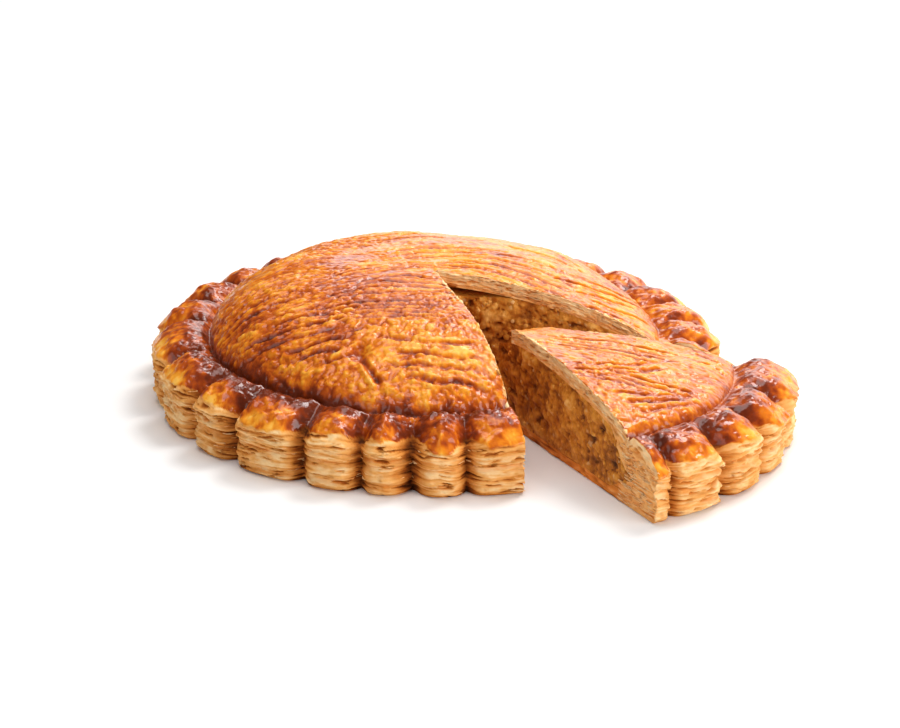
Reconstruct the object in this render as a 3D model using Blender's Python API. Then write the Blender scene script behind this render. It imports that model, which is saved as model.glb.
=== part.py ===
"""A round almond galette with one slice drawn half out of it.

The round and the slice are each a glazed lid, a filling and a base sheet. Every
piece is a stack of rings about its portion's own centre, closed by the two cuts.
The lid and the base meet at the seam that runs round the scalloped edge.
"""
import math
import random
from collections import namedtuple

import bmesh
import bpy

# Plan of the whole, in metres and degrees. Headings run from +X towards +Y.
RIM_RADIUS = 0.1052
RIM_OVAL = 0.0014
RIM_SHIFT = 0.0012
BACK_BULGE = 0.0032
BACK_BULGE_HEADING = 118.0
BACK_BULGE_WIDTH = 52.0
LEFT_BULGE = 0.0026
LEFT_BULGE_HEADING = 156.0
LEFT_BULGE_WIDTH = 22.0
CUT_LEFT = -73.5
CUT_RIGHT = -14.0
FULL_TURN = 360.0
CENTRE_X = -0.0121
CENTRE_Y = 0.0093

# The slice has moved and turned as one. Its lid's tip is broken off.
SLICE_TIP_X = 0.0231
SLICE_TIP_Y = -0.0326
SLICE_TURN = 10.5
LID_TIP_BREAK = 0.0095
LID_TIP_RAGGED = 0.0012

# Notches of the scalloped edge: heading and depth, where they are seen.
FRONT_NOTCHES = (
    (195.5, 0.0042), (214.0, 0.0048), (227.6, 0.0045), (244.3, 0.0044), (256.3, 0.0040), (266.0, 0.0056),
    (276.3, 0.0038), (291.0, 0.0030),
)
SLICE_NOTCHES = (
    (-82.0, 0.0030), (-69.3, 0.0024), (-55.8, 0.0048), (-43.0, 0.0042), (-29.6, 0.0046), (-10.0, 0.0030),
)
LOBE_ANGLE_LEAST = 11.6
LOBE_ANGLE_MOST = 14.4
NOTCH_LEAST = 0.0034
NOTCH_MOST = 0.0052
NOTCH_WIDTH = 0.0022
NOTCH_STEEPNESS = 1.6
DENT_WIDENING = 1.7
LOBE_BOW = 0.0005
LOBE_STEPS = (0.0, 0.05, 0.12, 0.3, 0.5, 0.7, 0.88, 0.95)
STEP_LEAST = 0.8

# Heights over the table.
SEAM_HEIGHT = 0.0096
SIDE_TOP = 0.0188
GROOVE_HEIGHT = 0.0216
GROOVE_RISE = 0.0018
CROWN_HEIGHT = 0.0447
SLICE_CROWN_HEIGHT = 0.0378
SLICE_LEAN = 0.0030
TIP_DROOP = 0.0042
TIP_DROOP_LENGTH = 0.0210
RIM_ARCH = 0.0029
CREASE_DROP = 0.0036
CREASE_SHARE = 0.08
LOBE_SWELL = 0.0009
BACK_SWELL = 0.0024

# The dome falls as (1 - share ** fall) ** edge: sooner beside the right cut, later at the back.
DOME_FALL = 3.6
DOME_FALL_RIGHT = 1.8
DOME_FALL_WIDTH = 45.0
DOME_FALL_BACK = 1.6
DOME_EDGE = 0.72
SLICE_FALL = 1.9
SLICE_EDGE = 0.62

# The groove between dome and rim lies nearer the edge in front and at the back.
GROOVE_RADIUS = 0.0828
GROOVE_FORWARD = 0.0072
GROOVE_FORWARD_HEADING = -82.0
GROOVE_FORWARD_WIDTH = 42.0
GROOVE_BACK = 0.0045
GROOVE_BACK_HEADING = 112.0
GROOVE_BACK_WIDTH = 60.0

# Sheets, the filling's blunt edge and the gap between neighbours.
BASE_THICKNESS = 0.0030
LID_THICKNESS = 0.0052
FILLING_INSET = 0.0165
FILLING_TAPER = 0.0130
FILLING_EDGE = 0.0026
EDGE_CLOSING = 0.0024
GAP = 0.0003
SLOPE_STEP = 0.0005

# Side of the flaky edge: share of the height, then the step out of the outline.
BASE_SIDE = (
    (0.0, -0.0013), (0.13, -0.0002), (0.35, -0.0010), (0.56, 0.0004), (0.80, -0.0006), (1.0, -0.0018),
)
LID_SIDE = (
    (0.0, -0.0018), (0.24, 0.0001), (0.40, -0.0010), (0.52, 0.0004), (0.78, 0.0006), (1.0, -0.0009),
)

# Unevenness.
SEED = 11
WAVE_TERMS = 5
WAVE_GAIN = 1.6
SEAM_WAVE = 0.0007
GROOVE_WAVE = 0.0011
LAYER_WAVE = 0.0005
LAYER_DEPTH_WAVE = 0.0004
RIM_WAVE = 0.0008
DOME_WAVE = 0.0005
CUT_RAGGEDNESS = 0.0004

# Rings of each face, as shares of the way out, and steps in a full turn.
DOME_SHARES = (0.10, 0.22, 0.34, 0.46, 0.57, 0.67, 0.76, 0.84, 0.90, 0.95, 1.0)
FINE_DOME_SHARE = 0.4
RIM_SHARES = (0.25, 0.50, 0.74, 0.90)
INNER_SHARES = (0.15, 0.40, 0.70)
TAPER_SHARES = (0.0, 0.35, 0.70, 1.0)
FOOT_SHARES = (0.9, 0.4)
DOME_STEPS = 96
CROWN_STEPS = 48
INNER_STEPS = 54
CLOSING_STEPS = 108

# Looks: colour and roughness.
GLAZE_LOOK = ((0.56, 0.19, 0.035), 0.28)
FILLING_LOOK = ((0.44, 0.19, 0.055), 0.85)
BASE_LOOK = ((0.60, 0.34, 0.15), 0.75)
SHARP_ANGLE = 50.0

Portion = namedtuple(
    "Portion", "name start end notches crown falls edge lean droop tip_break turn tip_x tip_y"
)
Ring = namedtuple("Ring", "headings reach height")


def wave(seed, slow, fast):
    """A smooth function of the heading, within about one either way."""
    source = random.Random(seed)
    terms = []
    for _ in range(WAVE_TERMS):
        terms.append((source.randint(slow, fast), source.uniform(0.0, math.tau), source.uniform(0.5, 1.0)))
    total = sum(size for _, _, size in terms)

    def value(heading):
        turn = math.radians(heading)
        return WAVE_GAIN * sum(size * math.sin(count * turn + phase) for count, phase, size in terms) / total

    return value


def smooth(share):
    """Ease from 0 to 1."""
    share = min(max(share, 0.0), 1.0)
    return share * share * (3.0 - 2.0 * share)


def bell(angle, width):
    """One at no angle and falling away over the width."""
    angle = (angle + FULL_TURN / 2) % FULL_TURN - FULL_TURN / 2
    return math.exp(-((angle / width) ** 2))


seam_wave = wave(SEED + 1, 5, 19)
groove_wave = wave(SEED + 2, 3, 14)
rim_waves = [wave(SEED + 20 + number, 9, 35) for number in range(len(RIM_SHARES))]
layer_waves = [wave(SEED + 40 + number, 7, 41) for number in range(len(BASE_SIDE) + len(LID_SIDE))]
dome_waves = [wave(SEED + 60 + number, 2, 13) for number in range(len(DOME_SHARES))]
break_wave = wave(SEED + 3, 9, 25)


def back_notches():
    """Notches from the right cut round the back to the first that is seen in front."""
    source = random.Random(SEED)
    first_seen = FRONT_NOTCHES[0][0]
    notches = []
    heading = CUT_RIGHT - LOBE_ANGLE_LEAST / 2
    while heading < first_seen - LOBE_ANGLE_LEAST:
        notches.append((heading, source.uniform(NOTCH_LEAST, NOTCH_MOST)))
        heading += source.uniform(LOBE_ANGLE_LEAST, LOBE_ANGLE_MOST)
    return tuple(notches)


def lobe(portion, heading):
    """The nearest notch's depth, the way out of it and of the wider dent above it, and the lobe's bow."""
    for (before, depth_before), (after, depth_after) in zip(portion.notches, portion.notches[1:]):
        if heading <= after:
            break
    share = min(max((heading - before) / (after - before), 0.0), 1.0)
    depth = depth_before if share < 0.5 else depth_after
    width = NOTCH_WIDTH * depth / NOTCH_LEAST
    away = min(share, 1.0 - share) * math.radians(after - before) * RIM_RADIUS / width
    out = 1.0 - math.exp(-(away ** NOTCH_STEEPNESS))
    dent_out = 1.0 - math.exp(-((away / DENT_WIDENING) ** 2))
    return depth, out, dent_out, math.sin(math.pi * share)


def plain_radius(heading):
    """The outline without its notches."""
    turn = math.radians(heading)
    bulge = BACK_BULGE * bell(heading - BACK_BULGE_HEADING, BACK_BULGE_WIDTH)
    bulge += LEFT_BULGE * bell(heading - LEFT_BULGE_HEADING, LEFT_BULGE_WIDTH)
    return RIM_RADIUS - RIM_OVAL * math.cos(2.0 * turn) + RIM_SHIFT * math.cos(turn) + bulge


def edge_radius(portion, heading):
    """The scalloped outline."""
    depth, out, _, bow = lobe(portion, heading)
    return plain_radius(heading) - depth * (1.0 - out) + LOBE_BOW * (bow - 0.5)


def groove_radius(heading):
    """Where the dome meets the rim."""
    forward = GROOVE_FORWARD * bell(heading - GROOVE_FORWARD_HEADING, GROOVE_FORWARD_WIDTH)
    back = GROOVE_BACK * bell(heading - GROOVE_BACK_HEADING, GROOVE_BACK_WIDTH)
    return GROOVE_RADIUS + forward + back + GROOVE_WAVE * groove_wave(heading)


def groove_height(heading):
    """The height of the groove."""
    return GROOVE_HEIGHT + GROOVE_RISE * bell(heading - GROOVE_FORWARD_HEADING, GROOVE_FORWARD_WIDTH)


def dome_height(portion, reach, heading):
    """The lid's upper face within the groove."""
    share = min(reach / groove_radius(heading), 1.0)
    plain_fall, right_fall = portion.falls
    fall = plain_fall + (right_fall - plain_fall) * bell(heading - CUT_RIGHT, DOME_FALL_WIDTH)
    fall += DOME_FALL_BACK * bell(heading - BACK_BULGE_HEADING, BACK_BULGE_WIDTH)
    low = groove_height(heading)
    droop = portion.droop * max(1.0 - reach / TIP_DROOP_LENGTH, 0.0) ** 2
    across = (heading - portion.start) / (portion.end - portion.start)
    crown = portion.crown - portion.lean * across
    return low + (crown - low) * (1.0 - share ** fall) ** portion.edge - droop


def rim_height(portion, share, heading):
    """The lid's upper face from the groove, share 0, to the edge, share 1."""
    depth, out, dent_out, _ = lobe(portion, heading)
    flat = groove_height(heading) * (1.0 - share) + SIDE_TOP * share
    swell = LOBE_SWELL * out + BACK_SWELL * bell(heading - BACK_BULGE_HEADING, BACK_BULGE_WIDTH)
    arch = (RIM_ARCH + swell) * 4.0 * share * (1.0 - share)
    dent = CREASE_DROP * (1.0 - dent_out) * depth / NOTCH_MOST
    return flat + arch - dent * smooth((share - CREASE_SHARE) / (1.0 - CREASE_SHARE))


def seam_height(heading):
    """The middle of the seam between lid and base."""
    return SEAM_HEIGHT + SEAM_WAVE * seam_wave(heading)


def filling_radius(heading):
    """Where the filling ends."""
    return plain_radius(heading) - FILLING_INSET


def taper(reach, heading):
    """Zero inside, and one where the filling ends."""
    end = filling_radius(heading)
    return smooth((reach - end + FILLING_TAPER) / FILLING_TAPER)


def lid_under(portion, reach, heading):
    """The lid's lower face over the filling."""
    closing = taper(reach, heading)
    dome = dome_height(portion, reach, heading) - LID_THICKNESS
    return dome * (1.0 - closing) + (seam_height(heading) + FILLING_EDGE / 2) * closing


def base_over(reach, heading):
    """The base's upper face under the filling."""
    closing = taper(reach, heading)
    return BASE_THICKNESS * (1.0 - closing) + (seam_height(heading) - FILLING_EDGE / 2) * closing


def clear_of(face, reach, heading, side):
    """A height one gap off a face, measured square to it; side is 1 above and -1 below."""
    slope = (face(reach + SLOPE_STEP, heading) - face(reach, heading)) / SLOPE_STEP
    return face(reach, heading) + side * GAP * math.hypot(1.0, slope)


def even_headings(portion, full_steps):
    """Headings that divide the portion evenly, both cuts included."""
    count = max(round(full_steps * (portion.end - portion.start) / FULL_TURN), 2)
    return [portion.start + (portion.end - portion.start) * number / count for number in range(count + 1)]


def lobe_headings(portion):
    """Headings that follow the lobes, closest beside the notches, both cuts included."""
    headings = [portion.start]
    for (before, _), (after, _) in zip(portion.notches, portion.notches[1:]):
        for share in LOBE_STEPS:
            heading = before + (after - before) * share
            if heading > headings[-1] + STEP_LEAST and heading < portion.end - STEP_LEAST:
                headings.append(heading)
    return headings + [portion.end]


def inner_radius(portion, heading):
    """Where the lid begins: at the centre, or where its tip is broken off."""
    if not portion.tip_break:
        return 0.0
    return portion.tip_break + LID_TIP_RAGGED * break_wave(heading)


def top_rings(portion):
    """The lid's upper face, from the middle to the rim's edge."""
    rings = []
    shares = DOME_SHARES if not portion.tip_break else (0.0,) + DOME_SHARES
    for number, share in enumerate(shares):
        steps = DOME_STEPS if share > FINE_DOME_SHARE else CROWN_STEPS
        sway = dome_waves[number % len(dome_waves)]
        reach = {}
        height = {}
        headings = even_headings(portion, steps)
        for heading in headings:
            inner = inner_radius(portion, heading)
            reach[heading] = inner + (groove_radius(heading) - inner) * share
            unevenness = DOME_WAVE * share * sway(heading)
            height[heading] = dome_height(portion, reach[heading], heading) + unevenness
        rings.append(Ring(headings, reach, height))
    headings = lobe_headings(portion)
    for number, share in enumerate(RIM_SHARES):
        reach = {}
        height = {}
        for heading in headings:
            edge = edge_radius(portion, heading) + LID_SIDE[-1][1]
            reach[heading] = groove_radius(heading) + (edge - groove_radius(heading)) * share
            height[heading] = rim_height(portion, share, heading) + RIM_WAVE * rim_waves[number](heading)
        rings.append(Ring(headings, reach, height))
    return rings


def side_rings(portion, side, low, high, waves):
    """Rings up the flaky edge, each layer stepping in and out on its own."""
    rings = []
    headings = lobe_headings(portion)
    for number, (share, step_out) in enumerate(side):
        inside = 0 < number < len(side) - 1
        reach = {}
        height = {}
        for heading in headings:
            sway = waves[number](heading)
            reach[heading] = edge_radius(portion, heading) + step_out + LAYER_DEPTH_WAVE * sway
            height[heading] = low(heading) + (high(heading) - low(heading)) * share
            if inside:
                height[heading] += LAYER_WAVE * waves[number - 1](heading)
        rings.append(Ring(headings, reach, height))
    return rings


def inner_rings(portion, height_at, begin, closing_height=None):
    """Rings over or under the filling, from the middle to where it ends, and on to the seam."""
    rings = []
    headings = even_headings(portion, INNER_STEPS)
    for share in ((0.0,) if begin(headings[0]) else ()) + INNER_SHARES:
        reach = {}
        for heading in headings:
            first = begin(heading)
            last = filling_radius(heading) - FILLING_TAPER
            reach[heading] = first + (last - first) * share
        rings.append(Ring(headings, reach, {h: height_at(reach[h], h) for h in headings}))
    headings = even_headings(portion, CLOSING_STEPS)
    for share in TAPER_SHARES:
        reach = {h: filling_radius(h) - FILLING_TAPER * (1.0 - share) for h in headings}
        rings.append(Ring(headings, reach, {h: height_at(reach[h], h) for h in headings}))
    if closing_height:
        reach = {h: filling_radius(h) + EDGE_CLOSING for h in headings}
        rings.append(Ring(headings, reach, {h: closing_height(h) for h in headings}))
    return rings


def middle(portion, height):
    """A ring of one point, at the portion's centre."""
    return Ring([portion.start], {portion.start: 0.0}, {portion.start: height})


def lid_rings(portion):
    """All rings of a lid, in order round its section."""
    top = top_rings(portion)
    side = side_rings(
        portion, LID_SIDE, lambda h: seam_height(h) + GAP / 2, lambda h: rim_height(portion, 1.0, h),
        layer_waves[len(BASE_SIDE):],
    )
    under = inner_rings(portion, lambda r, h: lid_under(portion, r, h), lambda h: inner_radius(portion, h),
                        lambda h: seam_height(h) + GAP / 2)
    rings = top + side[::-1] + under[::-1]
    if portion.tip_break:
        return rings
    above = middle(portion, dome_height(portion, 0.0, portion.start))
    below = middle(portion, lid_under(portion, 0.0, portion.start))
    return [above] + rings + [below]


def filling_rings(portion):
    """All rings of a filling, in order round its section."""
    def upper(reach, heading):
        return clear_of(lambda r, h: lid_under(portion, r, h), reach, heading, -1)

    def lower(reach, heading):
        return clear_of(base_over, reach, heading, 1)

    above = middle(portion, upper(0.0, portion.start))
    below = middle(portion, lower(0.0, portion.start))
    top = inner_rings(portion, upper, lambda h: 0.0)
    bottom = inner_rings(portion, lower, lambda h: 0.0)
    return [above] + top + bottom[::-1] + [below]


def base_rings(portion):
    """All rings of a base sheet, in order round its section."""
    top = inner_rings(portion, base_over, lambda h: 0.0, lambda h: seam_height(h) - GAP / 2)
    side = side_rings(portion, BASE_SIDE, lambda h: 0.0, lambda h: seam_height(h) - GAP / 2, layer_waves)
    foot = []
    headings = even_headings(portion, INNER_STEPS)
    for share in FOOT_SHARES:
        reach = {h: filling_radius(h) * share for h in headings}
        foot.append(Ring(headings, reach, {h: 0.0 for h in headings}))
    above = middle(portion, base_over(0.0, portion.start))
    below = middle(portion, 0.0)
    return [above] + top + side[::-1] + foot + [below]


def place(portion, heading, reach, height, aside=0.0):
    """A point of the portion in the shared frame; aside moves it across its heading."""
    turn = math.radians(heading + portion.turn)
    x = portion.tip_x + CENTRE_X + reach * math.cos(turn) - aside * math.sin(turn)
    y = portion.tip_y + CENTRE_Y + reach * math.sin(turn) + aside * math.cos(turn)
    return x, y, height


def bridge(bm, lower, upper):
    """Close the strip between two rings, which may have different numbers of points."""
    (headings_a, points_a), (headings_b, points_b) = lower, upper
    a = b = 0
    while a < len(points_a) - 1 or b < len(points_b) - 1:
        take_a = b == len(points_b) - 1
        if a < len(points_a) - 1 and b < len(points_b) - 1:
            take_a = headings_a[a] + headings_a[a + 1] < headings_b[b] + headings_b[b + 1]
        if take_a:
            bm.faces.new((points_a[a], points_a[a + 1], points_b[b]))
            a += 1
        else:
            bm.faces.new((points_b[b + 1], points_b[b], points_a[a]))
            b += 1


def build(name, portion, rings, look):
    """Make one closed piece from its rings."""
    bm = bmesh.new()
    source = random.Random(name)
    strips = []
    for ring in rings:
        points = []
        for heading in ring.headings:
            aside = 0.0
            if len(ring.headings) > 1 and heading in (portion.start, portion.end):
                aside = source.uniform(-CUT_RAGGEDNESS, CUT_RAGGEDNESS)
            where = place(portion, heading, ring.reach[heading], ring.height[heading], aside)
            points.append(bm.verts.new(where))
        strips.append((ring.headings, points))
    for lower, upper in zip(strips, strips[1:]):
        bridge(bm, lower, upper)
    if portion.tip_break and len(strips[0][1]) > 1:
        bridge(bm, strips[-1], strips[0])
    bm.faces.new([points[0] for _, points in strips])
    bm.faces.new([points[-1] for _, points in reversed(strips)])
    bmesh.ops.triangulate(bm, faces=[face for face in bm.faces if len(face.verts) > 3])
    bmesh.ops.recalc_face_normals(bm, faces=bm.faces)
    mesh = bpy.data.meshes.new(name)
    bm.to_mesh(mesh)
    bm.free()
    for polygon in mesh.polygons:
        polygon.use_smooth = True
    mesh.set_sharp_from_angle(angle=math.radians(SHARP_ANGLE))
    mesh.materials.append(material(name, *look))
    piece = bpy.data.objects.new(name, mesh)
    bpy.context.scene.collection.objects.link(piece)
    return piece


def material(name, colour, roughness):
    """A plain surface."""
    made = bpy.data.materials.new(name)
    made.use_nodes = True
    shader = made.node_tree.nodes["Principled BSDF"]
    shader.inputs["Base Color"].default_value = (*colour, 1.0)
    shader.inputs["Roughness"].default_value = roughness
    shader.inputs["Metallic"].default_value = 0.0
    return made


def main():
    """Build the round and its slice."""
    for item in list(bpy.data.objects):
        bpy.data.objects.remove(item, do_unlink=True)
    whole = Portion(
        name="galette", start=CUT_RIGHT, end=FULL_TURN + CUT_LEFT, notches=back_notches() + FRONT_NOTCHES,
        crown=CROWN_HEIGHT, falls=(DOME_FALL, DOME_FALL_RIGHT), edge=DOME_EDGE, lean=0.0, droop=0.0,
        tip_break=0.0, turn=0.0, tip_x=0.0, tip_y=0.0,
    )
    part = Portion(
        name="slice", start=CUT_LEFT, end=CUT_RIGHT, notches=SLICE_NOTCHES,
        crown=SLICE_CROWN_HEIGHT, falls=(SLICE_FALL, SLICE_FALL), edge=SLICE_EDGE, lean=SLICE_LEAN,
        droop=TIP_DROOP, tip_break=LID_TIP_BREAK, turn=SLICE_TURN, tip_x=SLICE_TIP_X, tip_y=SLICE_TIP_Y,
    )
    for portion in (whole, part):
        build(portion.name + "_lid", portion, lid_rings(portion), GLAZE_LOOK)
        build(portion.name + "_filling", portion, filling_rings(portion), FILLING_LOOK)
        build(portion.name + "_base", portion, base_rings(portion), BASE_LOOK)


main()
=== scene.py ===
"""The galette as it is seen: glazed, scored lid, flaky edge, crumbly filling and loose flakes."""
import math
import random

import bmesh
import bpy
import numpy as np
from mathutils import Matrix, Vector


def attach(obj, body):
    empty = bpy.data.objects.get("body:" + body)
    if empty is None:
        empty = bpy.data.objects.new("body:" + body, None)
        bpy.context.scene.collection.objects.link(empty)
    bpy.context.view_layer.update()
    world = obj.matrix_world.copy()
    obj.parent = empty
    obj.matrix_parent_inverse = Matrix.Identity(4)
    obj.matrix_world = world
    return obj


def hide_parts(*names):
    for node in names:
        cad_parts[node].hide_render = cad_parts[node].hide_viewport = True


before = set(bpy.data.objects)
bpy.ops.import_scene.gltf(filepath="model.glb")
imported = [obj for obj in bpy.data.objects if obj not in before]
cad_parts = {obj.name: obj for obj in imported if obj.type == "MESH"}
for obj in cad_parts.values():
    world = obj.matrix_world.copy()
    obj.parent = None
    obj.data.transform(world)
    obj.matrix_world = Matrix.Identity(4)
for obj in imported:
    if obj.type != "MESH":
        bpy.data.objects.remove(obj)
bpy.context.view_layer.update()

# Sizes shared with the solids, in metres and degrees.
RIM_RADIUS = 0.1052
RIM_OVAL = 0.0014
RIM_SHIFT = 0.0012
BACK_BULGE = 0.0032
BACK_HEADING = 118.0
BACK_WIDTH = 52.0
LEFT_BULGE = 0.0026
LEFT_HEADING = 156.0
LEFT_WIDTH = 22.0
CUT_LEFT = -73.5
CUT_RIGHT = -14.0
CENTRE = (-0.0121, 0.0093)
SLICE_TIP = (0.0231, -0.0326)
SLICE_TURN = 10.5
LID_TIP_BREAK = 0.0095
LID_TIP_RAGGED = 0.0012
FRONT_NOTCHES = (
    (195.5, 0.0042), (214.0, 0.0048), (227.6, 0.0045), (244.3, 0.0044), (256.3, 0.0040), (266.0, 0.0056),
    (276.3, 0.0038), (291.0, 0.0030),
)
SLICE_NOTCHES = (
    (-82.0, 0.0030), (-69.3, 0.0024), (-55.8, 0.0048), (-43.0, 0.0042), (-29.6, 0.0046), (-10.0, 0.0030),
)
LOBE_ANGLES = (11.6, 14.4)
NOTCH_DEPTHS = (0.0034, 0.0052)
NOTCH_WIDTH = 0.0022
LOBE_BOW = 0.0005
SEAM_HEIGHT = 0.0096
SIDE_TOP = 0.0188
GROOVE_HEIGHT = 0.0216
GROOVE_RISE = 0.0018
CROWN_HEIGHT = 0.0447
SLICE_CROWN_HEIGHT = 0.0378
SLICE_LEAN = 0.0030
TIP_DROOP = 0.0042
TIP_DROOP_LENGTH = 0.0210
RIM_ARCH = 0.0029
CREASE_DROP = 0.0036
CREASE_SHARE = 0.08
LOBE_SWELL = 0.0009
BACK_SWELL = 0.0024
GROOVE_RADIUS = 0.0828
BASE_THICKNESS = 0.0030
LID_THICKNESS = 0.0052
FILLING_INSET = 0.0165
FILLING_TAPER = 0.0130
FILLING_EDGE = 0.0026
EDGE_CLOSING = 0.0024
GAP = 0.0003
BASE_SIDE = (
    (0.0, -0.0013), (0.13, -0.0002), (0.35, -0.0010), (0.56, 0.0004), (0.80, -0.0006), (1.0, -0.0018),
)
LID_SIDE = ((0.0, -0.0018), (0.24, 0.0001), (0.40, -0.0010), (0.52, 0.0004), (0.78, 0.0006), (1.0, -0.0009))
SEED = 11

# The glazed cap rounds over the rim's edge and drapes over each lobe by its own length.
ROUNDING = 0.0021
ROUNDING_DOWN = 0.0019
DRAPES = (0.0002, 0.0034)
FRONT_DRAPES = (0.0010, 0.0004, 0.0016, 0.0002, 0.0004, 0.0032, 0.0016, 0.0003)

# Fineness of the shown surfaces.
HEADING_STEP = 0.34
RING_STEP = 0.00052
SIDE_STEP = 0.00026
FACE_STEP = 0.00040
RIM_ROWS = 44
SIDE_ROWS = round((SIDE_TOP - SEAM_HEIGHT) / SIDE_STEP)
UNDER_ROWS = 34
CRUMB_ROWS = 58
WELD = 1e7
SLOPE_STEP = 0.0002
CENTRE_HOLE = 0.0013
SEAM_LIFT = 0.0006
EDGE_PULL = 0.0016
PEAK_OUT = 0.0002
SIDES = (0, -1)
# The brown mask carries the browning and also painted shade on flanks, cuts and crumb.
MASKS = ("brown", "pale", "flank", "cut")

# Relief of the lid, in metres.
WARP = 0.0016
BLISTER_HEIGHT = 0.0011
SMALL_HEIGHT = 0.00075
PUCKER_HEIGHT = 0.00036
PUCKER_WIDTH = 0.0060
DIP_DEPTH = 0.0010
DIP_WIDTH = 0.0019
PILLOW_HEIGHT = 0.0011
MORE_CREASE = 0.0013
STROKE_DEPTH = 0.0011
LIP_HEIGHT = 0.00055
VENT = (-0.0252, -0.0655)
VENT_SQUASH = 0.7
VENT_WIDTH = 0.0027
VENT_DEPTH = 0.0034
CREASE_BORDER = 0.0030
CAP_LIP = 0.00075

# Relief of the flaky flank and of the cut faces, in metres.
FOLD_HEIGHT = 0.0046
FOLD_DEPTH = 0.0011
SHEET_HEIGHT = 0.00130
SHEET_DEPTH = 0.00072
SLOT_DEPTH = 0.0010
CRACK_DEPTH = 0.0013
LIFT_HEIGHT = 0.0006
FIBRE_HEIGHT = 0.00035
FOOT_HEIGHT = 0.0016
HOLLOW_DEPTH = 0.0030
PEAK_HOLLOW = 0.0013
TIP_SEED = 10

# Browning: how far it lies inward of the groove, its width, and patches that stayed golden.
BURNT_INWARD = 0.0016
BURNT_WIDTH = 0.0040
MOST_BROWN = 0.92
GOLDEN_PATCHES = (
    (1.0, (0.004, -0.068), (0.026, 0.0090)), (0.6, (-0.052, -0.030), (0.010, 0.006)),
    (0.5, (0.018, -0.012), (0.018, 0.006)),
)

# Loose leaves: shortest and longest, narrowest and widest, and how many lie on each cut.
EDGE_LEAF = ((0.0022, 0.0052), (0.0014, 0.0024))
LID_LEAF = ((0.0015, 0.0045), (0.0008, 0.0017))
RIM_LEAF = ((0.0022, 0.0050), (0.0009, 0.0017))
LEAF_THICKNESS = 0.0016
LID_LEAVES = 230
RIM_LEAVES = 170

# Named noises: the size of their features along three ways, in metres, or 1 where a plain number
# is given, then their seed and how many layers they have.
GRAINS = {
    "warp along": (0.007, 0.007, 0.007, 21, 2),
    "warp across": (0.007, 0.007, 0.007, 22, 2),
    "blister": (0.0062, 0.0040, 0.0040, 51, 1),
    "small blister": (0.0034, 0.0023, 0.0023, 52, 2),
    "streak": (0.0100, 0.0028, 0.0028, 23, 2),
    "wrinkle": (0.0020, 0.0020, 0.0020, 28, 2),
    "patch": (0.017, 0.014, 1, 29, 1),
    "swell": (0.026, 0.020, 1, 24, 1),
    "pucker": (0.0034, 0.0042, 0.0042, 25, 2),
    "rim lump": (0.0064, 0.0064, 0.0064, 26, 2),
    "cap sway": (0.0032, 1, 1, 47, 2),
    "cap bump": (0.0030, 0.0024, 1, 27, 2),
    "rim mottle": (0.0030, 0.0030, 0.0030, 34, 2),
    "ragged": (0.006, 0.006, 0.006, 35, 2),
    "broad tone": (0.020, 0.012, 0.012, 31, 2),
    "brushed tone": (0.0100, 0.0036, 0.0036, 32, 2),
    "fine tone": (0.0032, 0.0032, 0.0032, 36, 3),
    "golden": (0.007, 0.0035, 1, 33, 1),
    "layer bow": (0.013, 1, 0.010, 41, 1),
    "layer sway": (0.0042, 1, 0.004, 42, 1),
    "fold depth": (0.012, 1, 1, 48, 1),
    "sheet sway": (0.012, 0.0026, 1, 49, 1),
    "merge": (0.0085, 0.0019, 1, 43, 1),
    "torn": (0.0070, 0.00090, 1, 44, 2),
    "fibre": (0.0020, 0.0009, 1, 45, 2),
    "flank tone": (0.010, 0.0022, 1, 46, 2),
    "stroke sway": (0.008, 0.008, 1, 71, 1),
    "stroke shake": (0.0030, 0.0030, 1, 72, 1),
    "cut layer": (0.0070, 0.0011, 0.010, 80, 2),
    "cut pore": (0.0024, 0.0013, 1, 84, 2),
    "cut tear": (0.0050, 0.0009, 1, 88, 2),
    "base layer": (0.009, 0.0007, 1, 84, 1),
    "base rag": (0.0030, 0.0016, 1, 85, 1),
    "foot": (0.012, 1, 1, 48, 1),
    "crumb warp": (0.003, 0.003, 1, 95, 1),
    "rolling": (0.0085, 0.0066, 1, 98, 3),
    "hole": (0.0042, 0.0026, 1, 99, 3),
}

# Studio: each light's name, place, width, height and power; the point they face; the camera.
LIGHTS = (
    ("key", (0.50, 0.62, 1.25), 0.6, 0.6, 15.0),
    ("top", (-0.20, 0.05, 1.50), 1.0, 1.0, 12.5),
    ("back", (0.70, 1.50, 0.62), 2.2, 1.0, 14.5),
    ("front", (1.40, -0.90, 0.58), 1.3, 1.0, 23.0),
    ("left", (-0.95, -1.20, 0.70), 1.2, 1.0, 6.0),
)
LIT_POINT = (0.0, 0.0, 0.02)
LENS = 89.57
CAMERA_PLACE = (0.00566 + CENTRE[0], -0.7867 + CENTRE[1], 0.2946)
CAMERA_DOWN = 19.98


def lattice(ix, iy, iz, seed):
    """A repeatable number from 0 to 1 for each corner of a lattice."""
    mixed = (ix * 73856093) ^ (iy * 19349663) ^ (iz * 83492791) ^ (seed * 40503 + 977)
    mixed = mixed & 0xFFFFFFFF
    mixed = ((mixed ^ (mixed >> 15)) * 2246822519) & 0xFFFFFFFF
    mixed = ((mixed ^ (mixed >> 13)) * 3266489917) & 0xFFFFFFFF
    return (mixed ^ (mixed >> 16)) / 4294967296.0


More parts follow.
